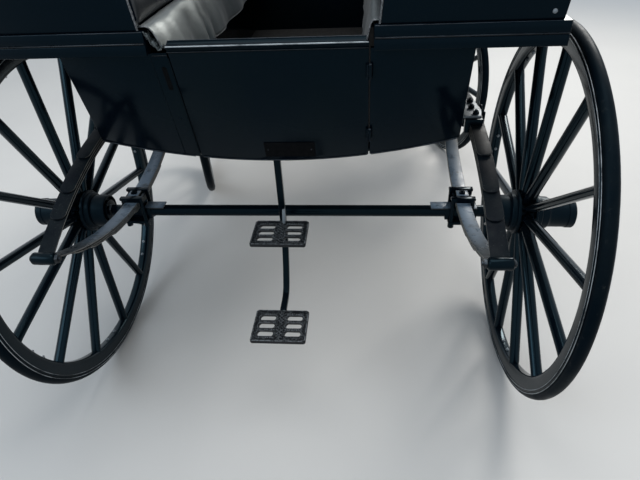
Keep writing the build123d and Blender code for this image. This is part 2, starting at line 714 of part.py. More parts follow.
def build_shafts():
    points = [Vector(*p) for p in SHAFT_POINTS]
    path = FilletPolyline(*points, radius=SHAFT_BENDS)
    start = Plane(origin=points[0], z_dir=points[1] - points[0])
    rod = sweep(start * Circle(SHAFT_R), path=path)
    eye_half = LUG_AT - 6
    eye = bar_x(LUG_R - 1, SHAFT_HALF - eye_half, SHAFT_HALF + eye_half, 0, 0)
    shaft = rod + Pos(*points[-1]) * Sphere(TIP_R) + eye
    under, over = CROSSBAR_Z
    crossbar = box(-SHAFT_HALF, SHAFT_HALF, CROSSBAR_AT - CROSSBAR_HALF,
                   CROSSBAR_AT + CROSSBAR_HALF, under, over)
    bolt = bar_z(TREE_BOLT_R, over, TREE_RISE + TREE_R + 6, 0, CROSSBAR_AT)
    PARTS["shafts"] = lower_shafts(shaft + mirror(shaft, Plane.YZ) + crossbar + bolt)
    tree = bar_x(TREE_R, -TREE_HALF, TREE_HALF, CROSSBAR_AT, TREE_RISE)
    tree -= bar_z(TREE_BOLT_R + 0.4, 0, 2 * TREE_RISE, 0, CROSSBAR_AT)
    outer, inner = TRACE_EYE_R
    eye = Cylinder(outer, TRACE_EYE_T) - Cylinder(inner, TRACE_EYE_T)
    for x in (-TRACE_X, TRACE_X):
        tree += Pos(x, CROSSBAR_AT + TRACE_AHEAD, TREE_RISE) * eye
    PARTS["swingletree"] = lower_shafts(tree)


# Steps

def step_plate(y, z, length):
    """Tread with rounded corners and two columns of three rounded slots."""
    plate = RectangleRounded(STEP_W, length, STEP_CORNER)
    for x in (-STEP_W / 4, STEP_W / 4):
        for row in (-1, 0, 1):
            plate -= Pos(x, row * STEP_PITCH * length) * SlotOverall(*STEP_SLOT)
    return Pos(STEP_X, y, z - STEP_T) * extrude(plate, STEP_T)


def build_steps():
    PARTS["step_plates"] = Compound(children=[step_plate(*step) for step in STEPS])
    upper, lower = STEPS
    top = BELLY_Z - STEP_T
    foot = lower[1] - STEP_T / 2
    path = FilletPolyline((STEP_X, STEM_Y, top), (STEP_X, STEM_Y, STEM_BEND_Z),
                          (STEP_X, STEM_Y - STEM_KICK, foot),
                          (STEP_X, lower[0] + lower[2] / 2, foot), radius=STEM_BENDS)
    start = Plane(origin=(STEP_X, STEM_Y, top), x_dir=(1, 0, 0), z_dir=(0, 0, -1))
    stem = sweep(start * Rectangle(*STEM_SECTION), path=path)
    stem += box(STEP_X - 35, STEP_X + 35, STEM_Y - 30, STEM_Y + 30, top, BELLY_Z - 0.5)
    half = STEM_SECTION[0] / 2
    stem += box(STEP_X - half, STEP_X + half, upper[0] + upper[2] / 2, STEM_Y,
                upper[1] - STEP_T, upper[1])
    PARTS["step_stem"] = stem


def build_running_gear():
    for place, axle in AXLES.items():
        shift = (lambda s: s) if place == "rear" else fore
        pieces = {"nave": nave(), "spokes": wheel_wood(axle), "tyre": tyre(axle["radius"])}
        for side in ("left", "right"):
            for name, shape in pieces.items():
                PARTS[f"{place}_{side}_{name}"] = shift(place_wheel(shape, axle, side))
        spring = SPRINGS[place]
        lower, upper = spring_halves(spring)
        PARTS[f"{place}_lower_springs"] = shift(both(lower))
        PARTS[f"{place}_upper_springs"] = shift(both(upper))
        PARTS[f"{place}_axle"] = shift(axle_beam(axle, spring["x"]))
        PARTS[f"{place}_axle_clips"] = shift(both(axle_clip(spring, axle_height(axle))))
    PARTS["rear_spring_brackets"] = both(spring_bracket())


build_running_gear()
build_door(build_tub())
build_seats()
build_driver_seat()
build_footboard()
build_dashboard()
build_turning_gear()
build_shafts()
build_steps()

boxes = [shape.bounding_box() for shape in PARTS.values()]
middle = [(min(b.min.X for b in boxes) + max(b.max.X for b in boxes)) / 2,
          (min(b.min.Y for b in boxes) + max(b.max.Y for b in boxes)) / 2]
print("rear axle from the origin", -middle[0], -middle[1])
os.makedirs("parts", exist_ok=True)
for name, shape in PARTS.items():
    export_step(Pos(-middle[0], -middle[1], 0) * shape, f"parts/{name}.step")
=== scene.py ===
"""Looks of the four-wheeled wagonette: paint, iron, rubber, leather and the small fittings.

Shapes are laid out in millimetres, in the carriage's own layout: the ground point under the middle
of the rear axle is the origin, +Y is forward, +X is the off (right) side and +Z is up.
"""
import functools
import json
from collections import namedtuple
from math import asin, atan, copysign, cos, exp, radians, sin, sqrt, tau

import bmesh
import bpy
from bmesh import ops
from mathutils import Matrix, Vector, noise

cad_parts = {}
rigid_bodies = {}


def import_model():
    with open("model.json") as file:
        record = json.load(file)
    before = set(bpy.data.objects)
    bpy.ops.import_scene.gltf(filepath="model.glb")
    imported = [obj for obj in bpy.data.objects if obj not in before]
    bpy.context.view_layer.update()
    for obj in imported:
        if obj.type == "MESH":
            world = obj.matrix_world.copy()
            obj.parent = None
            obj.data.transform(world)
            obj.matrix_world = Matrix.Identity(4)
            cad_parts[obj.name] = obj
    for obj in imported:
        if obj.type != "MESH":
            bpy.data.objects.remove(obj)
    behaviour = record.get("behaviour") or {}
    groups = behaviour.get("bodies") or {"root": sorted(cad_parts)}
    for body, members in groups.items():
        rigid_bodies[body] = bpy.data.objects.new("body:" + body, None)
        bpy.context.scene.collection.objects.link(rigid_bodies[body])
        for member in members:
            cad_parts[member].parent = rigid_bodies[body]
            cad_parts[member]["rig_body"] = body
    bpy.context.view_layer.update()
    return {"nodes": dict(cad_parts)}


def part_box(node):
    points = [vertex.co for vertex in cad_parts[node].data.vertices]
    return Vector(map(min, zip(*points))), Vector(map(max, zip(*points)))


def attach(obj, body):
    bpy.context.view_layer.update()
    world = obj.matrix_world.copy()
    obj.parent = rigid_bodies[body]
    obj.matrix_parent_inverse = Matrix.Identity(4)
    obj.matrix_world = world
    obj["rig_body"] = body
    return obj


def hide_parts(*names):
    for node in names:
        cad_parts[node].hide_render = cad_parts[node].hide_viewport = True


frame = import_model()

SCENE = bpy.context.scene
moved, rotated = Matrix.Translation, Matrix.Rotation
MM = Matrix.Scale(0.001, 4)
CAMBER = radians(1.7)
FORE_TURN = radians(19)

# Wheels: radius and number of spokes
WHEELS = {"rear": (560, 14), "front": (440, 12)}
WHEEL_STEPS = 144
HUB_STEPS = 72
TYRE_DEPTH = 27
FELLOE_DEPTH = 40
FELLOE_HALF = 18
DISH = 14
SPOKE_FOOT_HALF = 22
RIVET_CIRCLE = 60
# Round rubber crown: half width, rise, and how many degrees it reaches to each side
CROWN_HALF, CROWN_RISE, CROWN_REACH = 16.8, 14, 100
CROWN_FOOT = (14, 4)
# One side of the steel channel: distance from the middle, height over the felloe
CHANNEL_SIDE = [(19.6, 0), (19.8, 2), (18.2, 3.4), (17.8, 7.2), (19.2, 8.4), (19.2, 10.4),
                (18.2, 11.2), (17.2, 10.2), (17, 3)]
# Its rubbed lips, whose bright steel also paints the highlight lines on the channel's edges:
# distance from the middle, height over the felloe, thickness
CHANNEL_LIPS = ((19.4, 0.6, 0.9), (19, 10.6, 1))

# Springs: distance from the middle, half length between the eyes, and heights
Spring = namedtuple("Spring", "x half low eye high")
SPRINGS = {"rear": Spring(520, 500, 611, 750, 872), "front": Spring(470, 420, 491, 603, 700)}
LEAVES = 5
LEAF_T = 6
LEAF_GAP = 2.4
LEAF_HALF = 21
LEAF_STEP_IN = 0.7
LEAF_ENDS = (0.985, 0.8, 0.65, 0.42, 0.12)
LEAF_TIP = 17
LEAF_TIP_FROM = 0.84
EYE_R = 15
EYE_HALF = 29
EYE_OUTLINE = [(-EYE_HALF, 0), (-EYE_HALF, 10), (-26, 14), (-23, EYE_R), (23, EYE_R), (26, 14),
               (EYE_HALF, 10), (EYE_HALF, 0)]

# Tub and seats
TUB_HALF = 455
TUB_TOP = 1150
CORNER_Z = 909
BELLY_Z = 839
REAR_TOP_Y = -279
REAR_SLOPE = 0.306
REAR_LEAN = atan(REAR_SLOPE)
DOOR_LEFT = -205
DOOR_RIGHT = 233
HINGE_X = 236
HINGE_HEIGHTS = (1098, 924)
LEDGE_IN = 243
LEDGE_OUT = 630
LEDGE_REAR = -300
LEDGE_FRONT = 940
LEDGE_TOP = 1200
LEDGE_MIDDLE = 1175
END_IN = 253
END_OUT = 616
END_REAR = -293
BACK_TOP = 1500
CUSHION_T = 85

# Steps: middle Y, height of the tread, length
STEPS = [(-185, 606, 120), (-330, 375, 128)]
STEP_X = -20
STEP_HALF = 80
STEP_SLOT = (46, 15)
SLOT_OPEN = 0.4
SLOT_OPEN_BELOW = 0.72
STEP_PITCH = 0.25


# Places

def middle_of(node):
    low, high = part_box(node)
    return (low + high) / 2


def ground_point(node):
    middle = middle_of(node)
    return Vector((middle.x, middle.y, 0))


def about(middle, half):
    """Range of a half width to each side of a middle."""
    return middle - half, middle + half


BODY = moved(ground_point("rear_axle")) @ MM
FORE = moved(ground_point("upper_wheel_plate")) @ rotated(FORE_TURN, 4, "Z") @ MM
AXLE_BASES = {"rear": (BODY, "carriage_body"), "front": (FORE, "fore_carriage")}
TO_LAYOUT = BODY.inverted()
MIRROR = Matrix.Scale(-1, 4, (1, 0, 0))
REAR_FACE = (BODY @ moved((0, REAR_TOP_Y, TUB_TOP)) @ rotated(radians(90) + REAR_LEAN, 4, "X"))
# Turn a plate drawn in the XY plane so that its thickness lies across the carriage: its X out of
# the rear face and its Y up it, or its X forward and its Y up
ON_EDGE = Matrix(((0, 0, 1, 0), (0, 1, 0, 0), (1, 0, 0, 0), (0, 0, 0, 1)))
UPRIGHT = Matrix(((0, 0, 1, 0), (1, 0, 0, 0), (0, 1, 0, 0), (0, 0, 0, 1)))


def layout(co):
    """A point in the carriage's layout, in millimetres."""
    return TO_LAYOUT @ co


def wheel_place(axle, side):
    """A wheel's own layout: X along its axle outwards, its middle at the origin."""
    turn = rotated(FORE_TURN, 4, "Z") if axle == "front" else Matrix()
    hand = MIRROR if side == "left" else Matrix()
    tilt = rotated(CAMBER, 4, "Y")
    return moved(middle_of(f"{axle}_{side}_tyre")) @ turn @ hand @ tilt @ MM


def set_all(made, **settings):
    """Gives a thing its settings, in their order."""
    for key, value in settings.items():
        setattr(made, key, value)
    return made


# Finishes

def socket(tree, kind, output, inputs=None, **settings):
    """Adds a node, fed by values or other sockets, and gives one of its outputs."""
    made = set_all(tree.nodes.new("ShaderNode" + kind), **settings)
    for key, value in (inputs or {}).items():
        if isinstance(value, bpy.types.NodeSocket):
            tree.links.new(value, made.inputs[key])
        else:
            made.inputs[key].default_value = value
    return made.outputs[output]


class Finish:
    """A node material on the piece's own coordinates, and a slot name, which is kept but not used.
    """

    def __init__(self, name, slot, colour, roughness, specular=0.5, **others):
        self.slot = slot
        self.material = bpy.data.materials.new(name)
        self.material.use_nodes = True
        self.material.diffuse_color = (*colour, 1)
        self.tree = self.material.node_tree
        self.shader = self.tree.nodes["Principled BSDF"]
        self.shader.inputs["Specular IOR Level"].default_value = specular
        look = {"base_color": (*colour, 1), "roughness": roughness, "coat_roughness": 0.08}
        for key, value in {**look, **others}.items():
            self.shader.inputs[key.replace("_", " ").title()].default_value = value
        self.place = self.socket("TexCoord", "Object")

    def socket(self, *node, **settings):
        return socket(self.tree, *node, **settings)

    def feed(self, target, source):
        self.tree.links.new(source, self.shader.inputs[target])

    def scaled(self, stretch):
        return self.socket("Mapping", "Vector", {"Vector": self.place, "Scale": stretch})

    def clouds(self, scale, detail=4, roughness=0.55, stretch=(1, 1, 1), distortion=0):
        return self.socket("TexNoise", "Fac", {
            "Vector": self.scaled(stretch), "Scale": scale, "Detail": detail,
            "Roughness": roughness, "Distortion": distortion})

    def cells(self, scale):
        """Distance from the edges of small cells, as of leather or cloth."""
        inputs = {"Vector": self.scaled((1, 1, 1)), "Scale": scale}
        return self.socket("TexVoronoi", "Distance", inputs, feature="DISTANCE_TO_EDGE")

    def between(self, factor, low, high, start=0, end=1):
        """The factor's stretch from low to high, spread from start to end."""
        return self.socket("MapRange", "Result", {
            "Value": factor, "From Min": low, "From Max": high, "To Min": start, "To Max": end})

    def times(self, one, other):
        return self.socket("Math", "Value", {0: one, 1: other}, operation="MULTIPLY")

    def facing(self, axis):
        """How far the surface faces along an axis."""
        return self.socket("SeparateXYZ", axis, {"Vector": self.socket("NewGeometry", "Normal")})

    def upward(self, low, high):
        """1 on faces that look up, 0 on the sides and below."""
        return self.between(self.facing("Z"), low, high)

    def lit_leaf_edges(self):
        """Painted highlight with some wear: strong on the upper rounding of a leaf's edge, where
        light from above falls, broken into patches; weak on the edge's flat and below.
        """
        across = self.facing("X")
        side = self.between(self.times(across, across), 0.12, 0.4)
        # Faces that look up: where the painted highlight falls
        lit_from_above = self.between(self.facing("Z"), 0.12, 0.5, 0.05, 1)
        patches = self.between(self.clouds(40, 4, 0.7), 0.35, 0.6, 0.45, 1)
        return self.times(self.times(side, lit_from_above), patches)

    def tint(self, colour, clouds=None, span=None, share=None, over=None):
        """Lays a colour over the base so far: over some faces, where clouds pass through a span,
        and by a share."""
        shares = [over] if over else []
        if clouds:
            shares.append(self.between(self.clouds(*clouds), *span))
        if share:
            shares.append(share)
        base = self.shader.inputs["Base Color"]
        below = base.links[0].from_socket if base.is_linked else base.default_value
        inputs = {"A": below, "B": (*colour, 1), "Factor": functools.reduce(self.times, shares)}
        self.feed("Base Color", self.socket("Mix", "Result", inputs, data_type="RGBA"))

    def roughen(self, span, *clouds):
        """Lets the roughness wander through a span."""
        self.feed("Roughness", self.between(self.clouds(*clouds), 0.3, 0.7, *span))

    def relief(self, height, strength, depth):
        """Adds a layer of bump, in metres of depth."""
        inputs = {"Height": height, "Strength": strength, "Distance": depth}
        normal = self.shader.inputs["Normal"]
        if normal.is_linked:
            inputs["Normal"] = normal.links[0].from_socket
        self.feed("Normal", self.socket("Bump", "Normal", inputs))


# What black paint and rubber send back of a blue sky
BLUE_SHINE = (0.42, 0.8, 1, 1)


def coach_paint(name, dust=0.1, specular=0.1, roughness=(0.08, 0.22)):
    """Gloss black with a blue depth, hand-wiped smears and a trace of dust on what faces up."""
    f = Finish(name, "gloss_paint", (0.001, 0.0029, 0.0058), 0.14, specular,
               specular_tint=BLUE_SHINE)
    f.tint((0.0022, 0.0046, 0.006), (2.2, 3), (0.42, 0.68))
    f.tint((0.06, 0.085, 0.105), (9, 6, 0.65), (0.35, 0.75), dust, f.upward(0.5, 0.95))
    f.tint((0.09, 0.1, 0.1), (260, 2), (0.69, 0.75), 0.1)
    f.roughen(roughness, 5, 6, 0.6, (1, 1, 3))
    f.relief(f.clouds(46, 2), 0.04, 0.002)
    return f


PAINT = coach_paint("coach_paint")
RAIL_PAINT = coach_paint("rail_paint", 0.02, 0.06)
WHEEL_PAINT = coach_paint("wheel_paint", 0.06, 0.2)
HUB_PAINT = coach_paint("hub_paint", 0.08, 0.12, (0.34, 0.48))

# Black paint rubbed through to blue-grey steel on what faces up
f = WORN = Finish("worn_paint", "worn_steel", (0.0035, 0.0055, 0.008), 0.25, 0.25)
f.tint((0.085, 0.11, 0.135), (16, 6, 0.66), (0.36, 0.56), 0.65, f.upward(0.35, 0.85))
f.tint((0.05, 0.048, 0.044), (55, 5, 0.7), (0.6, 0.72), 0.5)
f.tint((0.07, 0.04, 0.025), (120, 3), (0.7, 0.76), 0.5)
f.roughen((0.2, 0.42), 30, 5)
f.relief(f.clouds(110, 5, 0.65), 0.2, 0.0008)

# Black paint on the upper leaves, thin and greenish where it is rubbed, with a painted highlight on
# their edges
f = UPPER_LEAVES = Finish("spring_paint", "worn_steel", (0.0018, 0.0042, 0.0074), 0.24, 0.07)
f.tint((0.0085, 0.013, 0.015), (17, 6, 0.72), (0.42, 0.62), 0.6, f.upward(0.2, 0.9))
f.tint((0.06, 0.068, 0.064), (230, 4, 0.7), (0.6, 0.7), 0.45)
# Painted highlight along the upper rounding of the leaf edges
f.tint((0.5, 0.48, 0.43), over=f.lit_leaf_edges())
f.roughen((0.36, 0.58), 30, 5)
f.relief(f.clouds(110, 5, 0.65), 0.2, 0.0008)

# Lower leaves rubbed grey-blue on what faces up, with a painted blue sky reflection on top where
# they lie level, which leaves them dark at the eyes, and a painted highlight on their edges
f = LOWER_LEAVES = Finish("spring_steel", "worn_steel", (0.004, 0.0066, 0.0095), 0.26, 0.3)
f.tint((0.045, 0.06, 0.068), (18, 6, 0.66), (0.3, 0.52), 0.42, f.upward(0.3, 0.8))
# Painted reflection: sky blue laid on the level tops of the leaves
f.tint((0.185, 0.255, 0.335), (24, 5, 0.6), (0.28, 0.46), 0.85, f.upward(0.925, 0.994))
f.tint((0.035, 0.045, 0.052), (90, 5, 0.7), (0.6, 0.7), 0.55)
# Painted highlight along the upper rounding of the leaf edges
f.tint((0.6, 0.57, 0.5), over=f.lit_leaf_edges())
f.roughen((0.22, 0.44), 30, 5)
f.relief(f.clouds(110, 5, 0.65), 0.2, 0.0008)

# Steel with the paint worn off, dull in patches
f = STEEL = Finish("bare_steel", "worn_steel", (0.19, 0.215, 0.235), 0.42, 0.4, metallic=0.35)
f.tint((0.055, 0.062, 0.07), (38, 6, 0.7), (0.5, 0.64))
f.tint((0.1, 0.075, 0.05), (90, 4), (0.62, 0.72), 0.5)
f.roughen((0.34, 0.58), 60, 5)
f.relief(f.clouds(150, 4), 0.25, 0.0006)

# Bright rubbed steel of the tyre channels' lips and the door rail's front edge, light enough to
# paint the highlight lines along these edges too
f = RIM = Finish("rim_steel", "worn_steel", (0.34, 0.37, 0.39), 0.34, 0.4, metallic=0.5)
f.tint((0.05, 0.058, 0.064), (9, 5, 0.7), (0.46, 0.62))
f.roughen((0.28, 0.5), 50, 5)
f.relief(f.clouds(150, 4), 0.2, 0.0005)

# Solid rubber, scuffed by the road, with a painted blue sky reflection in its base colour and a
# painted sheen on what faces up
f = RUBBER = Finish("tyre_rubber", "tyre_rubber", (0.0012, 0.0036, 0.0066), 0.42, 0.035,
                    specular_tint=BLUE_SHINE)
f.tint((0.0052, 0.008, 0.01), (7, 6, 0.62), (0.44, 0.72))
# Painted sheen: lighter blue-grey laid on what faces up
f.tint((0.018, 0.029, 0.038), share=0.12, over=f.upward(0.3, 0.95))
f.tint((0.04, 0.043, 0.042), (60, 5, 0.7), (0.62, 0.74), 0.4)
f.roughen((0.32, 0.52), 20, 5)
f.relief(f.clouds(240, 4, 0.6), 0.25, 0.0005)

# Black painted casting, grainy, rubbed grey on its ribs
f = IRON = Finish("cast_iron", "step_iron", (0.0045, 0.006, 0.008), 0.4, 0.28)
f.tint((0.13, 0.14, 0.145), (150, 6, 0.7), (0.5, 0.62), 0.7, f.upward(0.6, 0.98))
f.roughen((0.26, 0.54), 80, 4)
f.relief(f.clouds(320, 4, 0.7), 0.4, 0.0009)

# Raised work of the treads, bright where boots have rubbed it
f = RUBBED_IRON = Finish("rubbed_iron", "step_iron", (0.006, 0.008, 0.01), 0.36, 0.35)
f.tint((0.19, 0.205, 0.215), (120, 6, 0.75), (0.44, 0.54), 0.85, f.upward(0.3, 0.9))
f.roughen((0.26, 0.5), 90, 4)
f.relief(f.clouds(320, 4, 0.7), 0.3, 0.0006)

# Black leather with a fine grain, fold marks and a wiped sheen
f = LEATHER = Finish("seat_leather", "black_leather", (0.014, 0.0165, 0.019), 0.36, 0.5,
                     coat_weight=0.15)
f.tint((0.028, 0.03, 0.032), (6, 5, 0.6), (0.45, 0.72))
f.tint((0.07, 0.074, 0.074), (14, 6, 0.7, (1, 3, 1), 0.8), (0.62, 0.74), 0.5)
f.roughen((0.28, 0.46), 11, 5)
f.relief(f.clouds(17, 5, 0.6, (1, 2.4, 1), 1.2), 0.3, 0.004)
f.relief(f.cells(620), 0.3, 0.0005)

# The hanging leather, thinner, smoother and polished to a silvery sheen
f = FALL_LEATHER = Finish("sunned_leather", "black_leather", (0.014, 0.0185, 0.0225), 0.42, 0.9,
                          specular_tint=(0.84, 1, 0.98, 1), coat_weight=0.5,
                          coat_roughness=0.34, sheen_weight=0.12, sheen_roughness=0.4)
f.tint((0.026, 0.031, 0.034), (5, 5, 0.6), (0.42, 0.66))
f.tint((0.06, 0.068, 0.068), (22, 6, 0.7), (0.6, 0.72), 0.5)
f.roughen((0.36, 0.5), 11, 5)
f.relief(f.clouds(17, 5, 0.6), 0.25, 0.003)
f.relief(f.cells(700), 0.25, 0.0004)

# Woven edging of the leather
f = PIPING = Finish("grey_piping", "black_leather", (0.17, 0.175, 0.18), 0.45)
f.tint((0.045, 0.048, 0.052), (160, 4), (0.42, 0.58))
f.relief(f.cells(1500), 0.4, 0.0003)

# Dark boards of the footwell, trodden dull
f = BOARDS = Finish("floor_boards", "gloss_paint", (0.011, 0.011, 0.011), 0.72, 0.2)
f.tint((0.022, 0.0205, 0.019), (26, 6, 0.6, (6, 0.5, 1)), (0.42, 0.66))
f.roughen((0.55, 0.85), 14, 5)
f.relief(f.clouds(60, 5, 0.6, (5, 0.4, 1)), 0.3, 0.001)

# Dull black: painted shade standing for the hole of the latch slot, and the bare plate's own colour
f = SLOT_SHADE_AND_PLATE = Finish("painted_slot_shade_and_plate", "gloss_paint", (0.0012, 0.0016, 0.0022), 0.7, 0.06)
f.roughen((0.55, 0.85), 90, 3)


# Mesh work

SHARP = radians(28)
SAME_PLANE = radians(0.6)


def made_since(bm, before):
    return [v for v in bm.verts if v not in before]


def circle(count):
    """Points round the unit circle."""
    return [(cos(tau * i / count), sin(tau * i / count)) for i in range(count)]


def block(bm, x, y, z, place=Matrix()):
    """Block from its ranges along each axis."""
    low, high = Vector((x[0], y[0], z[0])), Vector((x[1], y[1], z[1]))
    size = Matrix.Diagonal((*(high - low), 1))
    ops.create_cube(bm, size=1, matrix=place @ moved((low + high) / 2) @ size)


def rod(bm, start, end, radius, tip=None, sides=24):
    """Round bar between two points."""
    start, end = Vector(start), Vector(end)
    along = end - start
    turn = along.to_track_quat("Z", "Y").to_matrix().to_4x4()
    ops.create_cone(bm, cap_ends=True, segments=sides, radius1=radius,
                    radius2=radius if tip is None else tip, depth=along.length,
                    matrix=moved((start + end) / 2) @ turn)


def turned(bm, outline, sides, place=Matrix(), closed=False):
    """Round piece about X, from its outline (along the axis, radius)."""
    before = set(bm.verts)
    verts = [bm.verts.new((along, 0, radius)) for along, radius in outline]
    edges = [bm.edges.new(pair) for pair in zip(verts, verts[1:])]
    if closed:
        edges.append(bm.edges.new((verts[-1], verts[0])))
    ops.spin(bm, geom=verts + edges, cent=(0, 0, 0), axis=(1, 0, 0), angle=tau,
             steps=sides, use_merge=True)
    new = made_since(bm, before)
    ops.remove_doubles(bm, verts=new, dist=0.01)
    ops.transform(bm, matrix=place, verts=made_since(bm, before))


def raised(bm, faces, thickness):
    """Draws flat faces up into a body."""
    grown = ops.extrude_face_region(bm, geom=faces)["geom"]
    top = [v for v in grown if isinstance(v, bmesh.types.BMVert)]
    ops.translate(bm, verts=top, vec=(0, 0, thickness))


def flat_piece(bm, points, thickness, place=Matrix()):
    """Plate from its outline in the XY plane."""
    before = set(bm.verts)
    raised(bm, [bm.faces.new([bm.verts.new((x, y, 0)) for x, y in points])], thickness)
    ops.transform(bm, matrix=place, verts=made_since(bm, before))


def both_sides(bm):
    """Adds the mirrored twin of all that is drawn."""
    ops.recalc_face_normals(bm, faces=bm.faces)
    ops.duplicate(bm, geom=bm.verts[:] + bm.edges[:] + bm.faces[:])
    bm.verts.ensure_lookup_table()
    ops.transform(bm, matrix=MIRROR, verts=bm.verts[len(bm.verts) // 2:])


def soften(bm, width, segments=2):
    """Rounds the sharp edges."""
    sharp = [e for e in bm.edges if len(e.link_faces) == 2 and e.calc_face_angle(0) > SHARP]
    ops.bevel(bm, geom=sharp, offset=width, offset_type="OFFSET", segments=segments,
              profile=0.5, affect="EDGES", clamp_overlap=True, material=-1)


def mesh_of(name, bm):
    mesh = bpy.data.meshes.new(name)
    bm.to_mesh(mesh)
    bm.free()
    return mesh


def in_scene(name, data):
    made = bpy.data.objects.new(name, data)
    SCENE.collection.objects.link(made)
    return made


def as_object(name, data, finish, body="carriage_body", replaces=None):
    """Puts finished data into the scene as a piece that rides on a body."""
    piece = in_scene(name, data)
    data.materials.clear()
    data.materials.append(finish.material)
    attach(piece, body)
    if replaces:
        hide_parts(replaces)
    return piece


def as_piece(name, bm, finish, place=BODY, body="carriage_body", bevel=0, segments=2,
             smooth=32, replaces=None):
    """Finishes a mesh as a piece that rides on a body."""
    ops.recalc_face_normals(bm, faces=bm.faces)
    if bevel:
        soften(bm, bevel, segments)
    bm.transform(place)
    ops.recalc_face_normals(bm, faces=bm.faces)
    mesh = mesh_of(name, bm)
    mesh.shade_smooth()
    mesh.set_sharp_from_angle(angle=radians(smooth))
    return as_object(name, mesh, finish, body, replaces)


def bead(name, runs, radius, finish, place=BODY, body="carriage_body"):
    """Thin round moulding or piping along one or more lines of points."""
    curve = set_all(bpy.data.curves.new(name, "CURVE"), dimensions="3D",
                    bevel_depth=radius * 0.001, bevel_resolution=2, use_fill_caps=True)
    for points in runs:
        line = curve.splines.new("POLY")
        line.points.add(len(points) - 1)
        for target, point in zip(line.points, points):
            target.co = (*(place @ Vector(point)), 1)
    return as_object(name, curve, finish, body)


def softened(node, finish, width, segments=2, shape=None):
    """A node's own shape with its sharp edges rounded, in place of the node."""
    source = frame["nodes"][node]
    bm = bmesh.new()
    bm.from_mesh(source.data)
    ops.remove_doubles(bm, verts=bm.verts, dist=0.00002)
    ops.dissolve_limit(bm, angle_limit=SAME_PLANE, verts=bm.verts, edges=bm.edges)
    if shape:
        shape(bm)
    soften(bm, width * 0.001, segments)
    as_piece(f"{node}_finished", bm, finish, Matrix(), source["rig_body"], replaces=node)


def painted(node, finish):
    """Gives a node its finish."""
    data = frame["nodes"][node].data
    data.materials.clear()
    data.materials.append(finish.material)


def hex_nut(bm, at, out, size, height, hand=Matrix()):
    """Nut on the end of a stud, at a point and facing a direction."""
    before = set(bm.verts)
    at, out = Vector(at), Vector(out).normalized()
    stud = size * 0.55
    rod(bm, at, at + out * height, size, sides=6)
    rod(bm, at, at + out * (height + 4), stud, stud * 0.85, sides=12)
    ops.transform(bm, matrix=hand, verts=made_since(bm, before))


def dome_head(bm, at, out, size):
    """Low round bolt head."""
    out = Vector(out).normalized()
    turn = Vector((1, 0, 0)).rotation_difference(out).to_matrix().to_4x4()
    outline = [(0, size), (size * 0.28, size * 0.86), (size * 0.48, size * 0.5), (size * 0.56, 0)]
    turned(bm, outline, 12, moved(at) @ turn)


def heads(name, places, size, finish, *seat):
    """Round heads, each from its point and direction, as one piece."""
    bm = bmesh.new()
    for at, out in places:
        dome_head(bm, at, out, size)
    return as_piece(name, bm, finish, *seat)


# Wheels

def tyre_outline(base):
    """Round rubber crown that stands out of its channel."""
    steps = 14
    crown = []
    for i in range(steps + 1):
        angle = radians(-CROWN_REACH + 2 * CROWN_REACH * i / steps)
        crown.append((CROWN_HALF * sin(angle),
                      base + TYRE_DEPTH - CROWN_RISE + CROWN_RISE * cos(angle)))
    half, height = CROWN_FOOT
    return [(-half, base + height)] + crown + [(half, base + height)]


def build_tyre(wheel, base, seat):
    """Rubber, its steel channel and the channel's lips, from the felloe's radius outwards."""
    bm = bmesh.new()
    turned(bm, tyre_outline(base), WHEEL_STEPS, closed=True)
    as_piece(f"{wheel}_rubber", bm, RUBBER, *seat, smooth=60, replaces=f"{wheel}_tyre")
    bm = bmesh.new()
    outline = [(-out, base + up) for out, up in CHANNEL_SIDE]
    outline += [(out, base + up) for out, up in reversed(CHANNEL_SIDE)]
    turned(bm, outline, WHEEL_STEPS, closed=True)
    as_piece(f"{wheel}_channel", bm, PAINT, *seat, smooth=25)
    # Lips in bright rubbed steel, which also paints the highlight lines of the channel's edges
    bm = bmesh.new()
    for hand in (-1, 1):
        for out, up, thick in CHANNEL_LIPS:
            outline = [(hand * out + thick * c, base + up + thick * s) for c, s in circle(6)]
            turned(bm, outline, WHEEL_STEPS, closed=True)
    as_piece(f"{wheel}_lips", bm, RIM, *seat, smooth=60)


def spoke_ring(bm, radius, along, half_w, half_t):
    """One section of a spoke, an oval."""
    place = moved((along, 0, radius)) @ Matrix.Diagonal((half_w, half_t, 1, 1))
    made = ops.create_circle(bm, cap_ends=False, segments=16, radius=1, matrix=place)
    return list({e for v in made["verts"] for e in v.link_edges})


def round_axle(turn):
    """Direction out from the axle, by its turn round it."""
    return Vector((0, -sin(turn), cos(turn)))


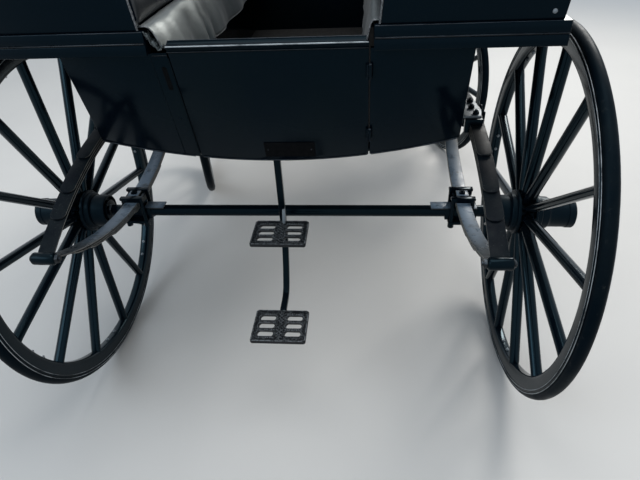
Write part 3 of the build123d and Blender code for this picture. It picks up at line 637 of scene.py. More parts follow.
def build_wood(wheel, base, count, seat):
    """Spokes and felloe, and the nuts of the felloe's joints."""
    inner = base - FELLOE_DEPTH
    # radius, along the axle, half width, half thickness
    sections = [
        (50, -DISH, 18, 11.6), (92, -DISH + 0.6, 18, 13), (120, -DISH + 1, 17.4, 13.6),
        (inner * 0.55, -DISH * 0.5, 16.6, 13.2), (inner - 34, -1, 16, 12.6),
        (inner - 10, 0, 16.4, 12.8), (inner + 6, 0, 16.4, 12.8),
    ]
    bm = bmesh.new()
    rings = [spoke_ring(bm, *section) for section in sections]
    for near, far in zip(rings, rings[1:]):
        ops.bridge_loops(bm, edges=near + far)
    ops.edgeloop_fill(bm, edges=rings[0] + rings[-1])
    ops.spin(bm, geom=bm.verts[:] + bm.edges[:] + bm.faces[:], cent=(0, 0, 0),
             axis=(1, 0, 0), angle=tau * (count - 1) / count, steps=count - 1,
             use_duplicate=True)
    half = FELLOE_HALF
    rounding = [(half, inner + 13), (half - 2, inner + 6), (half - 6, inner + 1.5),
                (half - 11, inner)]
    felloe = [(-half, base), (half, base)] + rounding + [(-x, r) for x, r in reversed(rounding)]
    turned(bm, felloe, WHEEL_STEPS, closed=True)
    as_piece(f"{wheel}_wheel_wood", bm, WHEEL_PAINT, *seat, smooth=40, replaces=f"{wheel}_spokes")
    bm = bmesh.new()
    for joint in range(count // 2):
        for shift in (-3.2, 3.2):
            out = round_axle(tau * (joint * 2 + 0.5) / count + radians(shift))
            hex_nut(bm, out * (inner + 0.5), -out, 6, 4)
    as_piece(f"{wheel}_felloe_nuts", bm, STEEL, *seat, bevel=0.5, segments=1)


def build_nave(wheel, count, seat, base_body):
    """Turned hub with its plate, rivets and cap, and the nut of the axle behind it."""
    foot_in, foot_out = about(-DISH, SPOKE_FOOT_HALF)
    outline = [
        (-97, 18.1), (-97, 43), (-106, 44), (-107.5, 45.2), (-108, 47), (-107, 49), (-104, 50.5),
        (-66, 51.5), (-64, 50), (-62, 50), (-60, 57), (-57, 59), (foot_in - 10, 60),
        (foot_in - 8.5, 66), (foot_in - 6, 68), (foot_in, 68), (foot_in, 48), (foot_out, 48),
        (foot_out, 66), (foot_out + 5, 66), (foot_out + 7, 63.5), (foot_out + 8.5, 55),
        (foot_out + 14, 53.5), (30, 52.5), (33, 50), (52, 49), (56, 45.5), (62, 44), (100, 43.2),
        (111, 43.2), (113, 45), (130, 45), (133, 43), (134.5, 38), (136, 36.5), (137.6, 28),
        (138, 22), (132, 20), (132, 0), (112, 0), (112, 18.1),
    ]
    bm = bmesh.new()
    turned(bm, outline, HUB_STEPS, closed=True)
    as_piece(f"{wheel}_hub", bm, HUB_PAINT, *seat, smooth=28, replaces=f"{wheel}_nave")
    bm = bmesh.new()
    for i in range(0, count, 2):
        at = round_axle(tau * (i + 0.5) / count) * RIVET_CIRCLE
        dome_head(bm, at + Vector((foot_out + 6, 0, 0)), (1, 0, 0), 4)
    rod(bm, (131, 0, 0), (137.5, 0, 0), 13, 12, sides=6)
    as_piece(f"{wheel}_hub_rivets", bm, WORN, *seat, bevel=0.6, segments=1)
    bm = bmesh.new()
    turned(bm, [(-110, 16), (-110, 21), (-118, 21), (-118, 16)], 6, closed=True)
    as_piece(f"{wheel}_axle_nut", bm, WORN, seat[0], base_body, bevel=1)


def build_wheels():
    for axle, (radius, count) in WHEELS.items():
        for side in ("left", "right"):
            wheel = f"{axle}_{side}"
            seat = wheel_place(axle, side), f"{axle}_wheel_{side}"
            build_tyre(wheel, radius - TYRE_DEPTH, seat)
            build_wood(wheel, radius - TYRE_DEPTH, count, seat)
            build_nave(wheel, count, seat, AXLE_BASES[axle][1])


# Springs

def leaf(bm, radius, reach, depth, end, half_width, pointed):
    """One leaf, drawn in at its tips, bent about the X axis with its inner face at a depth."""
    before = set(bm.verts)
    ops.create_grid(bm, x_segments=2, y_segments=50, size=1)
    raised(bm, list({f for v in made_since(bm, before) for f in v.link_faces}), LEAF_T - LEAF_GAP)
    tip = LEAF_TIP / (radius * reach * end) if pointed else 1 - LEAF_TIP_FROM
    for v in made_since(bm, before):
        into = max(0, (abs(v.co.y) - LEAF_TIP_FROM) / (1 - LEAF_TIP_FROM))
        along = (1 - tip) * min(1, abs(v.co.y) / LEAF_TIP_FROM) + tip * into
        width = half_width * (sqrt(1 - (0.94 * into) ** 2) if pointed else 1)
        angle = copysign(along, v.co.y) * reach * end
        r = radius - LEAF_T / 2 + depth + v.co.z
        v.co = (v.co.x * width, r * sin(angle), -r * cos(angle))


def half_spring(bm, spring, upper):
    """Leaves of one half of a spring."""
    rise = spring.high - spring.eye if upper else spring.eye - spring.low
    radius = (spring.half ** 2 + rise ** 2) / (2 * rise)
    reach = asin(spring.half / radius)
    flip = Matrix.Scale(-1, 4, (0, 0, 1)) if upper else Matrix()
    for i, end in enumerate(LEAF_ENDS):
        leaf(bm, radius, reach, i * LEAF_T, end, LEAF_HALF - LEAF_STEP_IN * i, i > 0)
    bm.transform(moved((spring.x, 0, spring.eye)) @ flip @ moved((0, 0, radius - rise)))


def build_springs():
    for axle, spring in SPRINGS.items():
        base, body = AXLE_BASES[axle]
        for name, upper, finish in (("lower", False, LOWER_LEAVES), ("upper", True, UPPER_LEAVES)):
            bm = bmesh.new()
            half_spring(bm, spring, upper)
            both_sides(bm)
            as_piece(f"{axle}_{name}_leaves", bm, finish, base, body, bevel=1.1, smooth=40,
                     replaces=f"{axle}_{name}_springs")
        for side, hand in (("right", Matrix()), ("left", MIRROR)):
            eyes, bolts = bmesh.new(), bmesh.new()
            for y in about(0, spring.half):
                turned(eyes, EYE_OUTLINE, 32, moved((spring.x, y, spring.eye)))
                inner, outer = about(spring.x, EYE_HALF)
                hex_nut(bolts, (inner, y, spring.eye), (-1, 0, 0), 11, 8)
                dome_head(bolts, (outer, y, spring.eye), (1, 0, 0), 10)
            for kind, bm, finish in (("eyes", eyes, PAINT), ("eye_bolts", bolts, WORN)):
                as_piece(f"{axle}_{side}_{kind}", bm, finish, base @ hand, body, bevel=0.8,
                         segments=1)


def clip_nuts():
    """Worn block with a dark nut between the straps of each clip, and worn caps on the axles, both
    in the lower leaves' finish with its painted blue sky reflection on their level tops.
    """
    for axle, spring in SPRINGS.items():
        base, body = AXLE_BASES[axle]
        top = spring.low + LEAF_T / 2 + 7
        beam = middle_of(f"{axle}_axle").z * 1000 + 20
        blocks, nuts = bmesh.new(), bmesh.new()
        for x in about(0, spring.x):
            block(blocks, about(x, 18), (-17, 17), (top, top + 7))
            for side in (-1, 1):
                reach = 47 if side * x > 0 else 92
                block(blocks, sorted((x + side * 28, x + side * reach)), (-20.4, 20.4),
                      (beam - 3, beam + 1.2))
            block(nuts, about(x, 8), (-8, 8), (top + 7, top + 13))
            rod(nuts, (x, 0, top + 13), (x, 0, top + 17), 4.5, 4, sides=12)
        # Lower leaves' finish: rubbed, with a painted sky reflection on the level tops
        as_piece(f"{axle}_clip_blocks", blocks, LOWER_LEAVES, base, body, bevel=1.2)
        as_piece(f"{axle}_clip_nuts", nuts, PAINT, base, body, bevel=0.6, segments=1)


def spring_irons():
    """Worn iron tongues from the tub to the rear springs, with their nuts and end clips."""
    x = SPRINGS["rear"].x
    top = SPRINGS["rear"].high - LEAF_T / 2 + LEAVES * LEAF_T + 0.5
    wall = TUB_HALF + 0.3
    outline = [(wall, -14), (488, -72), (530, -72), (537, -28), (527, 44), (500, 56), (wall, 72)]
    irons, nuts, clips = bmesh.new(), bmesh.new(), bmesh.new()
    for hand in (Matrix(), MIRROR):
        flat_piece(irons, outline, 8, hand @ moved((0, 0, top)))
        block(irons, (wall, wall + 8), (-14, 72), (top + 1, top + 54), hand)
        for at, y in ((514, 27), (511, -18), (517, -58)):
            hex_nut(nuts, (at, y, top + 8), (0, 0, 1), 9, 8, hand)
        for y in (8, 50):
            hex_nut(nuts, (wall + 8, y, top + 32), (1, 0, 0), 8, 6, hand)
        block(clips, (x - 33, x + 14), (-86, -70), (top - 34, top + 3), hand)
        for y in (-24, 24):
            for leg in about(x, 26):
                rod(clips, hand @ Vector((leg, y, top - 40)), hand @ Vector((leg, y, top)), 4)
            block(clips, about(x, 31), about(y, 7), (top - 41, top - 34), hand)
    as_piece("spring_irons", irons, STEEL, bevel=1.8, segments=3, replaces="rear_spring_brackets")
    as_piece("spring_iron_nuts", nuts, PAINT, bevel=0.6, segments=1)
    as_piece("spring_iron_clips", clips, PAINT, bevel=2.2, segments=3)


# Tub

def on_rear(u, z, out=0):
    """Point on the leaning rear face, from its distance across and its height."""
    return (u, (z - TUB_TOP) / cos(REAR_LEAN), out)


def belly_height(x):
    """Height of the curved lower edge of the tub."""
    sag = CORNER_Z - BELLY_Z
    radius = (TUB_HALF ** 2 + sag ** 2) / (2 * sag)
    return BELLY_Z + radius - sqrt(radius ** 2 - x ** 2)


def lower_edge(xs):
    return [on_rear(x, belly_height(x) + 1, 0.5) for x in xs]


def build_rear_trim():
    """Seams, a painted shade for the latch slot, hinge pins and the bare plate of the rear end."""
    on_door = REAR_FACE, "rear_door"
    for name, x in (("strip_seam", -247), ("latch_seam", DOOR_LEFT - 2)):
        line = [on_rear(x, TUB_TOP - 12, 0.2), on_rear(x, belly_height(x) + 3, 0.2)]
        bead(name, [line], 1.1, PAINT, REAR_FACE)
    # The latch slot is not cut: a thin dull black plate on the face paints the shade of its hole
    bm = bmesh.new()
    slot = [(5.5 * c, (26 if s > 0 else -26) + 5.5 * s) for c, s in circle(24)]
    flat_piece(bm, slot, 0.8, moved(on_rear(-224, 1087)))
    as_piece("latch_slot_shade", bm, SLOT_SHADE_AND_PLATE, REAR_FACE)
    out = (0, 0, 1)
    heads("strip_screw", [(on_rear(-228, 975), out)], 4, PAINT, REAR_FACE)
    bm = bmesh.new()
    block(bm, (-33, 97), (on_rear(0, 853)[1], on_rear(0, 899)[1]), (0, 2))
    as_piece("bare_plate", bm, SLOT_SHADE_AND_PLATE, *on_door, bevel=0.8)
    heads("plate_screws", [(on_rear(u, 876, 2), out) for u in (-24, 88)], 2.2, WORN, *on_door)
    pins = [(Vector(on_rear(HINGE_X, height, 5.5)) + Vector((0, end * 18, 0)), (0, end, 0))
            for height in HINGE_HEIGHTS for end in (-1, 1)]
    heads("hinge_pins", pins, 3.6, WORN, *on_door)
    # Rubbed lower edges of the door and panels, whose light finish also paints the highlight line
    # along the belly
    bead("door_lower_edge", [lower_edge(range(-200, 231, 10))], 1.6, WORN, *on_door)
    bead("panel_lower_edges", [lower_edge(range(-452, -210, 11)), lower_edge(range(240, 453, 11))],
         1.6, WORN, REAR_FACE)


def build_door_rail():
    """Moulded rail on top of the door: a round nose over a hollow and a small bead."""
    bm = bmesh.new()
    profile = [(-21, 0), (-21, 16.6), (-20, 18), (-17.6, 18), (-16.6, 16.8), (-4, 15.4),
               (-2.6, 17.4), (0, 18.4), (3.4, 18), (5.8, 16), (6.4, 13.4), (5.4, 11.2),
               (1.6, 10.2), (0.3, 9), (0.3, 3.8), (1.8, 2.8), (2.4, 1.2), (1.6, 0)]
    flat_piece(bm, profile, DOOR_RIGHT - DOOR_LEFT, moved((DOOR_LEFT, 0, 0)) @ ON_EDGE)
    as_piece("door_rail", bm, RAIL_PAINT, REAR_FACE, "rear_door", smooth=50,
             replaces="door_top_rail")
    # Rubbed edges of the rail as beads; their light finishes also paint the highlight lines along
    # the rail
    low, high = DOOR_LEFT + 1, DOOR_RIGHT - 1
    # name, height on the rail, distance out, radius, finish
    for name, v, out, radius, finish in (
            ("front", 17.2, 4.6, 1.5, RIM), ("back", 17.2, -19.6, 1, WORN),
            ("lower", 2, 1.7, 1, WORN)):
        bead(f"rail_{name}_edge", [[(low, v, out), (high, v, out)]], radius, finish, REAR_FACE,
             "rear_door")
    # Rubbed edge of the strip, its light finish also painting a highlight line
    bead("strip_edge", [[(-LEDGE_IN + 1, -6, 0.6), (DOOR_LEFT - 3, -6, 0.6)]], 1, WORN, REAR_FACE)


def ledge_beads():
    """Rubbed bead in the groove round each seat board, and its rubbed upper edge, whose light worn
    finish also paints the highlight lines of the groove and the edge.
    """
    for side, k in (("left", -1), ("right", 1)):
        for name, z, inset, radius in (
                ("bead", LEDGE_MIDDLE, 1.4, 1.9), ("edge", LEDGE_TOP - 1.1, 1, 1)):
            rear, out = LEDGE_REAR + inset, LEDGE_OUT - inset
            run = [(k * (LEDGE_IN + 2), rear, z), (k * out, rear, z), (k * out, LEDGE_FRONT - 2, z)]
            bead(f"{side}_ledge_{name}", [run], radius, WORN)


def end_panel_trim():
    """Grey piping up the inner edge of each rear end panel, and a stud at its foot."""
    rear = END_REAR - 0.5
    runs = [[(k * (END_IN + 1), rear, LEDGE_TOP + 2), (k * (END_IN + 8), rear, LEDGE_TOP + 68)]
            for k in (-1, 1)]
    bead("end_panel_piping", runs, 2.2, PIPING)
    studs = [((k * (END_OUT - 22), END_REAR, LEDGE_TOP + 16), (0, -1, 0)) for k in (-1, 1)]
    heads("end_panel_studs", studs, 5, STEEL)


# Upholstery

# How a seat and a back are made: cell of the mesh, how near its sewn lines the cloth is held, and
# the depth and width of those lines
SEAT_MAKE = (9.5, 4, 5, 11)
BACK_MAKE = (8, 3.5, 3, 9)
PRESSURE = 4
SWELL_FRAMES = 20
FAR = 1000
ROLL = 58
SEAT_SEAMS = (118, 522)
SIDE_BACK = (-258, 910)
SIDE_BACK_LEAN = 40 / 300
DRIVER_LEAN = 0.16


def pad_start(x, y, z, lean=(0, 0), rounding=9):
    """Plain block that a pad is blown up from, leaning along X and Y as it rises."""
    bm = bmesh.new()
    block(bm, x, y, z)
    for v in bm.verts:
        v.co.x += (v.co.z - z[0]) * lean[0]
        v.co.y += (v.co.z - z[0]) * lean[1]
    soften(bm, rounding, 3)
    bm.transform(BODY)
    return in_scene("pad", mesh_of("pad", bm))


def settle(pad):
    """Replaces a pad's mesh by what its modifiers make of it."""
    shown = bpy.data.meshes.new_from_object(
        pad.evaluated_get(bpy.context.evaluated_depsgraph_get()))
    pad.modifiers.clear()
    pad.data = shown


def inflate(pad, held, most):
    """Blows the pad up as cloth, with the points that held() names kept in place."""
    start = [v.co.copy() for v in pad.data.vertices]
    group = pad.vertex_groups.new(name="held")
    group.add([i for i, co in enumerate(start) if held(layout(co))], 1, "REPLACE")
    cloth = pad.modifiers.new("cloth", "CLOTH")
    set_all(cloth.settings, use_pressure=True, uniform_pressure_force=PRESSURE,
            vertex_group_mass="held", quality=4)
    cloth.settings.effector_weights.gravity = 0
    set_all(cloth.point_cache, frame_start=1, frame_end=SWELL_FRAMES)
    for number in range(1, SWELL_FRAMES + 1):
        SCENE.frame_set(number)
    settle(pad)
    SCENE.frame_set(1)
    for v, rest in zip(pad.data.vertices, start):
        move = v.co - rest
        if move.length > most * 0.001:
            v.co = rest + move.normalized() * most * 0.001


def push_in(pad, depth_at):
    """Moves each point in along its normal, by a depth in millimetres."""
    normals = [v.normal.copy() for v in pad.data.vertices]
    for v, normal in zip(pad.data.vertices, normals):
        v.co += normal * -depth_at(v.co) * 0.001


def crease(pad, seed, depth, scale, stretch=(1, 1, 1)):
    """Shallow folds."""
    shift = Vector((seed, seed * 0.7, -seed))

    def fold(co):
        point = Vector([a * b for a, b in zip(co, stretch)]) * scale + shift
        return max(0, 1 - abs(noise.noise(point)) * 3.2) * depth

    push_in(pad, fold)


def quilt(pad, make, seam, fixed, most=18):
    """Blows a pad up and presses in its sewn lines. seam() is the distance from them."""
    cell, near, depth, width = make
    set_all(pad.modifiers.new("voxels", "REMESH"), mode="VOXEL", voxel_size=cell * 0.001,
            use_smooth_shade=True)
    settle(pad)
    inflate(pad, lambda p: fixed(p) or seam(p) < near, most)
    push_in(pad, lambda co: depth * max(0, 1 - (seam(layout(co)) / width) ** 2) ** 2)


def finish_pad(pad, name, node):
    set_all(pad.modifiers.new("smooth", "SUBSURF"), levels=1, render_levels=1)
    settle(pad)
    data = pad.data
    bpy.data.objects.remove(pad)
    data.shade_smooth()
    as_object(name, data, LEATHER, replaces=node)


def mirrored(pad):
    """The near-side twin of an off-side pad."""
    data = pad.data.copy()
    middle = ground_point("rear_axle").x
    data.transform(moved((2 * middle, 0, 0)) @ MIRROR)
    data.flip_normals()
    return in_scene("pad", data)


def seat_seam(p):
    """Distance from the nearest sewn line on top of a side seat."""
    if p.z < LEDGE_TOP + CUSHION_T * 0.5:
        return FAR
    across = min(abs(p.y - y) for y in SEAT_SEAMS) if p.x > LEDGE_IN + ROLL else FAR
    return min(abs(p.x - LEDGE_IN - ROLL), across)


def channel(at, low, high, count, margin):
    """Distance from the nearest of the upright channels that part a back evenly."""
    pitch = (high - low) / count
    if not low + margin < at < high - margin:
        return FAR
    return abs((at - low) / pitch - round((at - low) / pitch)) * pitch


def build_side_pads():
    pad = pad_start((LEDGE_IN + 12, END_OUT - 22), (-270, 914), (LEDGE_TOP + 5, LEDGE_TOP + 68))
    quilt(pad, SEAT_MAKE, seat_seam, lambda p: p.z < LEDGE_TOP + 8, 20)
    for side, one, seed in (("right", pad, 3.1), ("left", mirrored(pad), 8.6)):
        crease(one, seed, 2.2, 9, (1, 0.5, 1))
        finish_pad(one, f"{side}_seat_cushion", "side_cushions")
    low = LEDGE_TOP + CUSHION_T + 18
    foot = END_OUT - 21 + (low - LEDGE_TOP) * SIDE_BACK_LEAN
    pad = pad_start((foot - 24, foot - 3), SIDE_BACK, (low, BACK_TOP - 24), (SIDE_BACK_LEAN, 0))
    quilt(pad, BACK_MAKE, lambda p: channel(p.y, *SIDE_BACK, 9, 20),
          lambda p: p.x > foot + (p.z - low) * SIDE_BACK_LEAN - 6)
    for side, one, seed in (("right", pad, 5.3), ("left", mirrored(pad), 1.9)):
        crease(one, seed, 1.2, 14)
        finish_pad(one, f"{side}_back_pad", "back_pads")


def build_driver_pads():
    low, high = [layout(corner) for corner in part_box("driver_cushion")]
    pad = pad_start((low.x + 8, high.x - 8), (low.y + 8, high.y - 8), (low.z + 1, high.z - 16))
    rear_seam = high.y - 60
    quilt(pad, SEAT_MAKE,
          lambda p: min(abs(p.x), abs(p.y - rear_seam)) if p.z > low.z + 40 else FAR,
          lambda p: p.z < low.z + 8)
    crease(pad, 4.4, 2, 9)
    finish_pad(pad, "driver_seat_pad", "driver_cushion")
    left, right = [layout(corner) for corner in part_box("driver_back_pad")]
    foot, face = left.z + 6, right.y - 28
    pad = pad_start((left.x + 8, right.x - 8), (face, right.y - 4), (foot, right.z - 6),
                    (0, -DRIVER_LEAN), 8)
    quilt(pad, BACK_MAKE, lambda p: channel(p.x, left.x, right.x, 7, 25),
          lambda p: p.y < face - (p.z - foot) * DRIVER_LEAN + 5)
    finish_pad(pad, "driver_back_padding", "driver_back_pad")


FALL_REAR = -286
FALL_FRONT = 926
FALL_LOOSE_FROM = 0.34
LEATHER_T = 0.0026
GATHER_T = 0.0024
# Run of the hanging leather away from the seat: distance inwards from the board's edge, height
FALL_LINE = [(-16, 1203), (-3, 1207), (9, 1205), (20, 1193), (31, 1168), (43, 1130), (53, 1088)]
# Pleats that open towards the hem: place, width, depth, how near the hem they stay
FALL_PLEATS = [(-170, 70, 7, 1.2), (-62, 44, -9, 1.2), (8, 16, 7, 2.4), (34, 10, -7, 2.6),
               (60, 13, 7, 2.6), (100, 18, -6, 2.2), (165, 40, 7, 1.4), (265, 60, -8, 1.3),
               (400, 70, 8, 1.2), (540, 60, -7, 1.5), (690, 70, 7, 1.2), (820, 60, -7, 1.4)]


def fall_point(down):
    """Place and outward direction on the hanging leather's run, 0 at the seat and 1 at the hem."""
    last = len(FALL_LINE) - 1
    place = down * last
    i = min(int(place), last - 1)
    t = place - i
    a, b, c, d = [Vector((*FALL_LINE[max(0, min(last, n))], 0)) for n in range(i - 1, i + 3)]
    point = 0.5 * (2 * b + (c - a) * t + (2 * a - 5 * b + 4 * c - d) * t * t
                   + (3 * b - a - 3 * c + d) * t * t * t)
    run = (c - b).normalized()
    return point, Vector((-run.y, run.x, 0))


def fall_rear(z):
    """Rear end of the hanging leather: inside the leaning panel, and out to the ledge above it."""
    inside = REAR_TOP_Y + 24 + REAR_SLOPE * (TUB_TOP - min(z, TUB_TOP))
    return inside + (FALL_REAR - inside) * min(1, max(0, (z - TUB_TOP - 3) / 12))


def build_falls():
    """Leather that hangs over the inner edge of each side seat, in loose folds to a piped hem."""
    for side, k, seed, slack in (("right", 1, 2.7, 0.3), ("left", -1, 11.2, 1)):
        bm = bmesh.new()
        ops.create_grid(bm, x_segments=260, y_segments=26, size=0.5)
        rear_edge = sorted((v for v in bm.verts if v.co.x < -0.499), key=lambda v: -v.co.y)
        hem = sorted((v for v in bm.verts if v.co.y < -0.499), key=lambda v: v.co.x)
        for v in bm.verts:
            along, down = v.co.x + 0.5, 0.5 - v.co.y
            point, out = fall_point(down)
            rear = fall_rear(point.y)
            y = rear + (along + 0.35 * along * (along - 1)) * (FALL_FRONT - rear)
            lean = y + 34 * (down - 0.5)
            loose = max(0, down - FALL_LOOSE_FROM) / (1 - FALL_LOOSE_FROM)
            fold = 4 * noise.noise(Vector((y * 0.008 + down, seed, down * 0.6))) * loose
            fold += 1.6 * noise.noise(Vector((y * 0.024, seed + 5, down * 2.2)))
            for at, width, depth, low in FALL_PLEATS:
                fold += depth * exp(-((lean - at) / width) ** 2) * loose ** low
            inward = point.x * (slack + (1 - slack) * (0.22 if point.x > 0 else 1))
            reach = inward + out.x * fold * (0.4 + 0.6 * slack)
            v.co = (k * (LEDGE_IN - reach), y, point.y + out.y * fold)
        edge_line = [tuple(v.co) for v in rear_edge[4:] + hem[1:]]
        piece = as_piece(f"{side}_seat_fall", bm, FALL_LEATHER, smooth=80, replaces="leather_falls")
        set_all(piece.modifiers.new("thickness", "SOLIDIFY"), thickness=LEATHER_T, offset=0)
        edge = bead(f"{side}_fall_hem", [edge_line], 1.7, PIPING)


def build_gather():
    """Crumpled end of the near-side leather, lying over the fixed strip beside the door."""
    bm = bmesh.new()
    ops.create_grid(bm, x_segments=44, y_segments=34, size=0.5)
    for v in bm.verts:
        across, along = v.co.x + 0.5, v.co.y + 0.5
        x = -(LEDGE_IN + 1) + 33 * across
        y = LEDGE_REAR + 10 + 28 * along
        z = TUB_TOP + 9 + 36 * (1 - across) ** 1.8
        point = Vector((x, y * 1.2, z))
        crumple = noise.noise(point * 0.085) + 0.5 * noise.noise(point * 0.21 + Vector((7, 2, 5)))
        pleat = 1 - 2.4 * abs(noise.noise(point * 0.06 + Vector((3, 9, 1))))
        v.co = (x + 5 * crumple, y - 4 - 3 * crumple, z + 7 * crumple + 9 * max(0, pleat) ** 3)
    piece = as_piece("gathered_leather", bm, FALL_LEATHER, smooth=50)
    set_all(piece.modifiers.new("thickness", "SOLIDIFY"), thickness=GATHER_T, offset=0)


# Steps

def slot_line(x, y, z):
    """Closed line round one slot of a tread."""
    length, width = STEP_SLOT
    reach, r = (length - width) / 2, width / 2 * (1 + SLOT_OPEN) + 1.4
    line = [(x + copysign(reach, c) + r * c, y + r * s, z) for c, s in circle(24)]
    return line + line[:1]


def open_slots(bm):
    """Opens the slots of the treads, wider below than on top, as they are cast."""
    length, width = STEP_SLOT
    for v in bm.verts:
        p = layout(v.co)
        for y, z, depth in STEPS:
            for row in (-1, 0, 1):
                off = p.y - y - row * STEP_PITCH * depth
                along = abs(abs(p.x - STEP_X) - STEP_HALF / 2)
                if abs(off) < width / 2 + 0.1 and along < length / 2 + 0.1 and abs(p.z - z) < 10:
                    v.co.y += off * 0.001 * (SLOT_OPEN if p.z > z - 4 else SLOT_OPEN_BELOW)


def build_steps():
    """Raised rims, studs and a lattice on each tread, and the gusset of the upper one in worn
    bright steel, which also paints its sunlit face.
    """
    bm = bmesh.new()
    runs = []
    for y, z, length in STEPS:
        half = length / 2
        high = (z - 1, z + 2.4)
        for x in about(STEP_X, STEP_HALF - 2.5):
            block(bm, about(x, 2), about(y, half - 6), high)
        for edge in about(y, half - 2.5):
            block(bm, about(STEP_X, STEP_HALF - 6), about(edge, 2), high)
        for x in about(STEP_X, STEP_HALF / 2):
            for row in (-1, 0, 1):
                runs.append(slot_line(x, y + row * STEP_PITCH * length, z + 0.4))
            for row in (-1.5, -0.5, 0.5, 1.5):
                for i in range(8):
                    at = (x + (i - 3.5) * 6.6, y + row * STEP_PITCH * length, z)
                    dome_head(bm, at, (0, 0, 1), 2.5)
        for slant in (-45, 45):
            turn = rotated(radians(slant), 4, "Z")
            for i in range(-4, 5):
                block(bm, about(0, 16 if abs(i) < 4 else 8), (-1.1, 1.1), (-1, 1.5),
                      moved((STEP_X, y + i * length / 10, z + 0.6)) @ turn)
    as_piece("step_relief", bm, RUBBED_IRON, bevel=0.7, segments=1)
    bead("step_slot_rims", runs, 1.2, RUBBED_IRON)
    bm = bmesh.new()
    front = STEPS[0][0] + STEPS[0][2] / 2
    gusset = [(front + 10, 0), (front + 10, 50), (front - 14, 0)]
    flat_piece(bm, gusset, 9, moved((STEP_X + 1, 0, STEPS[0][1])) @ UPRIGHT)
    # Bright steel: worn, and light enough to paint the gusset's sunlit face
    as_piece("step_gusset", bm, STEEL, bevel=1)


# Solids that are shown as they are but for rounded edges: width of the rounding, segments, nodes
ROUNDED = (
    (1, 2, ("door_hinges", "swingletree")),
    (1.4, 2, ("side_panels", "rear_panels", "belly_panel", "front_wall", "seat_risers",
              "door_panel", "seat_boards", "rear_axle_clips", "front_axle_clips")),
    (1.6, 2, ("futchells", "front_bolster", "lower_wheel_plate", "upper_wheel_plate", "rear_axle",
              "front_axle")),
    (1.8, 2, ("front_rockers", "toe_board", "dashboard", "upper_bed")),
    (2.2, 3, ("seat_end_panels", "seat_backs", "driver_backrest", "driver_seat_ends",
              "driver_seat_board", "driver_box")),
    (5, 4, ("step_stem",)),
)
# Solids that only get a finish
PAINTED = {"floor": BOARDS, "front_floor": BOARDS, "whip_socket": WORN, "shafts": PAINT}


def finish_solids():
    for width, segments, nodes in ROUNDED:
        for node in nodes:
            softened(node, PAINT, width, segments)
    softened("step_plates", IRON, 0.9, shape=open_slots)
    for node, finish in PAINTED.items():
        painted(node, finish)


# Studio

CAMERA_AT = (232.55, -1421.57, 1480.6)
CAMERA_YAW = 0.110493
CAMERA_PITCH = 0.626107
CAMERA_ROLL = -0.0573931
FOCAL_PX = 529.14
PHOTO_WIDTH = 640
SENSOR = 36
BACKDROP = (0.7, 0.76, 0.82, 1)
SKY = (0.8, 0.9, 1)
FLOOR_HALF = 14
# Metres from the rear axle between which the floor runs into the backdrop
FLOOR_FADES = (3.2, 9)
# Lamps: place, aim, size, watts, colour, spread
LAMPS = {
    "sun_side": ((3.4, 4.1, 4.2), (0, -1.2, 0.8), (2.5, 2.5), 112, (1, 0.97, 0.92), 100),
    "sky_side": ((-3.2, -4.2, 3.6), (0, -1.2, 0.6), (3.2, 2.2), 65, SKY, 180),
    "overhead": ((0.4, -1.4, 5.2), (0, -1, 0.5), (3.5, 3.5), 120, (1, 1, 1), 180),
}


def build_camera():
    data = set_all(bpy.data.cameras.new("camera"), sensor_fit="HORIZONTAL", sensor_width=SENSOR,
                   lens=FOCAL_PX * SENSOR / PHOTO_WIDTH, clip_start=0.05)
    SCENE.camera = in_scene("camera", data)
    SCENE.camera.matrix_world = (
        moved(BODY @ Vector(CAMERA_AT)) @ rotated(CAMERA_YAW, 4, "Z")
        @ rotated(radians(90) - CAMERA_PITCH, 4, "X") @ rotated(CAMERA_ROLL, 4, "Z"))


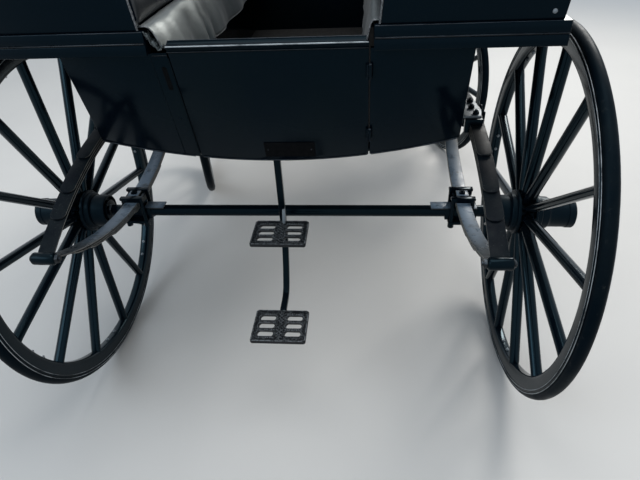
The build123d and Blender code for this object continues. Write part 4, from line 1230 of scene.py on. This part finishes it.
def build_lamps():
    for name, (at, aim, (width, height), watts, colour, spread) in LAMPS.items():
        data = set_all(bpy.data.lights.new(name, "AREA"), spread=radians(spread),
                       shape="RECTANGLE", size=width, size_y=height, energy=watts, color=colour)
        lamp = in_scene(name, data)
        lamp.location = at
        lamp.rotation_euler = (Vector(aim) - Vector(at)).to_track_quat("-Z", "Y").to_euler()


def seen_share(tree):
    """1 where the camera, a reflection or clear glass looks straight at the surface, else 0."""
    seen = socket(tree, "LightPath", "Is Camera Ray")
    for ray in ("Glossy", "Transmission"):
        inputs = {0: seen, 1: socket(tree, "LightPath", f"Is {ray} Ray")}
        seen = socket(tree, "Math", "Value", inputs, operation="MAXIMUM")
    return seen


def pale_over(tree, share, plain, pale_kind, output):
    """Shows the pale backdrop over a plain shade, by a share."""
    pale = socket(tree, pale_kind, 0, {"Color": BACKDROP, "Strength": 1})
    mix = socket(tree, "MixShader", "Shader", {"Fac": share, 1: plain, 2: pale})
    tree.links.new(mix, tree.nodes[output].inputs["Surface"])


def build_world():
    world = bpy.data.worlds.new("studio")
    SCENE.world = world
    world.use_nodes = True
    tree = world.node_tree
    shade = tree.nodes["Background"]
    shade.inputs["Color"].default_value = (*SKY, 1)
    shade.inputs["Strength"].default_value = 0.5
    pale_over(tree, seen_share(tree), shade.outputs["Background"], "Background", "World Output")


def build_floor():
    """Pale floor that runs into the backdrop well away from the carriage."""
    bm = bmesh.new()
    ops.create_grid(bm, x_segments=1, y_segments=1, size=FLOOR_HALF)
    plane = in_scene("floor_plane", mesh_of("floor_plane", bm))
    f = Finish("pale_floor", None, (0.62, 0.61, 0.59), 0.75)
    f.tint((0.56, 0.55, 0.54), (1.5, 4), (0.4, 0.7), 0.35)
    away = f.socket("VectorMath", "Value", {0: f.place}, operation="LENGTH")
    share = f.times(f.between(away, *FLOOR_FADES), seen_share(f.tree))
    pale_over(f.tree, share, f.shader.outputs["BSDF"], "Emission", "Material Output")
    plane.data.materials.append(f.material)


for build in (build_wheels, build_springs, clip_nuts, spring_irons, finish_solids, build_rear_trim,
              build_door_rail, ledge_beads, end_panel_trim, build_side_pads, build_driver_pads,
              build_falls, build_gather, build_steps, build_camera, build_world, build_floor,
              build_lamps):
    build()
SCENE.view_settings.view_transform = "Standard"
